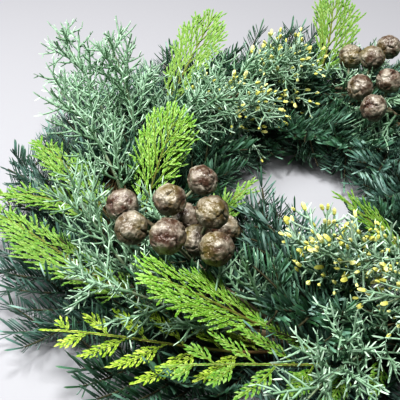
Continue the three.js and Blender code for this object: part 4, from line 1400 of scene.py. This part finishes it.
def lay_straw():
    """The rope's core and the straws on it. A straw's level is its shade."""
    rng = random.Random(61)
    skeleton = Skeleton()
    for k in range(STRAWS):
        angle, slot = rng.uniform(0, 360), rng.uniform(0, 360)
        length, drift = rng.uniform(16, 46), rng.uniform(-14, 14)
        thick = rng.uniform(0.5, 1.0)
        points = []
        for step in range(STRAW_STEPS + 1):
            turn = angle + length * step / STRAW_STEPS
            place = slot + drift * step / STRAW_STEPS
            reach = straw_reach(place, waist_at(turn)) - thick - 0.15
            points.append(straw_point(turn, place, reach))
        skeleton.add(points, (thick, thick * 0.8), straw_normal(angle, slot), (0, 0),
                     rng.random(), free=True)
    core = [straw_point(angle, 0, 0) for angle in range(0, 361, 10)]
    skeleton.add(core, (CORE_RADIUS, CORE_RADIUS), UP, (0, 0), 0.2, free=True)
    finish = {**LEAFLESS, "Sides": 6, "Bark finish": straw_finish()}
    return grow("straw_ring", skeleton, finish)


def wind_wire():
    """Twelve loops. Each lies on the bare straw below and over the stems above."""
    skeleton = Skeleton()
    points = []
    for k in range(TURNS):
        angle = 360 - k * TURN_STEP
        points += [straw_point(angle, slot, reach) for reach, slots in LOOP for slot in slots]
        points += [straw_point(angle - turn, CROSSING_SLOT, CROSSING_REACH)
                   for turn in CROSSING_TURNS]
    points.append(points[0])
    skeleton.add(points, (WIRE_RADIUS, WIRE_RADIUS), UP, (0, 0), 0, free=True)
    finish = {**LEAFLESS, "Sides": 8, "Bark finish": wire_finish()}
    return grow("binding_wire", skeleton, finish)


finest = [lay_straw(), wind_wire()]
print("straw and wire have", sum(map(triangles, finest)), "triangles")

# %% [markdown]
# ## Table, light and camera
# The photograph shows the wreath on a pale table in soft light from above and a little from the
# left. Two square lamps give that, a strong one overhead and a weaker one on the left, and the
# room adds a faint fill. Larger lamps give softer shadows, but needles and threads need some
# shadow to stand apart.
# The camera stands where the hole and the outer edge have the shape that they have in the
# photograph.

# %% Stage
FLOOR_HALF = 3
FLOOR_GREY = (0.403, 0.402, 0.420, 1)
ROOM_COLOUR = (0.86, 0.87, 0.9, 1)
ROOM_STRENGTH = 0.08
CAMERA_PLACE = Vector((0, -447.236, 387.016))
CAMERA_DOWN = 40.2338
CAMERA_LEFT = 10.3806

floor_mesh = bpy.data.meshes.new("floor")
corners = [(x * FLOOR_HALF, y * FLOOR_HALF, 0) for x, y in ((-1, -1), (1, -1), (1, 1), (-1, 1))]
floor_mesh.from_pydata(corners, [], [(0, 1, 2, 3)])
floor = linked("floor", floor_mesh)
made, graph = new_material("pale_floor")
floor_mesh.materials.append(surface(made, graph, {"Base Color": FLOOR_GREY, "Roughness": 0.7}))
scene = bpy.context.scene
scene.view_settings.view_transform = "Standard"
scene.view_settings.look = "High Contrast"
scene.world = bpy.data.worlds.new("pale_room")
scene.world.use_nodes = True
background = scene.world.node_tree.nodes["Background"]
background.inputs["Color"].default_value = ROOM_COLOUR
background.inputs["Strength"].default_value = ROOM_STRENGTH


def lamp(name, place, energy, size):
    """A square lamp that shines at the origin of the frame."""
    light = bpy.data.lights.new(name, "AREA")
    light.energy = energy
    light.size = size
    lit = linked(name, light)
    lit.location = place
    lit.rotation_euler = (Vector() - Vector(place)).to_track_quat("-Z", "Y").to_euler()


lamp("window", (-0.8, -0.15, 1.1), 11, 0.5)
lamp("sky", (0.0, -0.1, 1.7), 27, 0.4)

camera_data = bpy.data.cameras.new("camera")
camera_data.sensor_width = 36
camera_data.lens = 61.2
camera = linked("camera", camera_data)
camera.location = in_frame(CAMERA_PLACE)
camera.rotation_euler = (math.radians(90 - CAMERA_DOWN), 0, math.radians(CAMERA_LEFT))
scene.camera = camera
print("camera", round((camera.location - MIDDLE).length / MM), "mm from the middle of the hole")
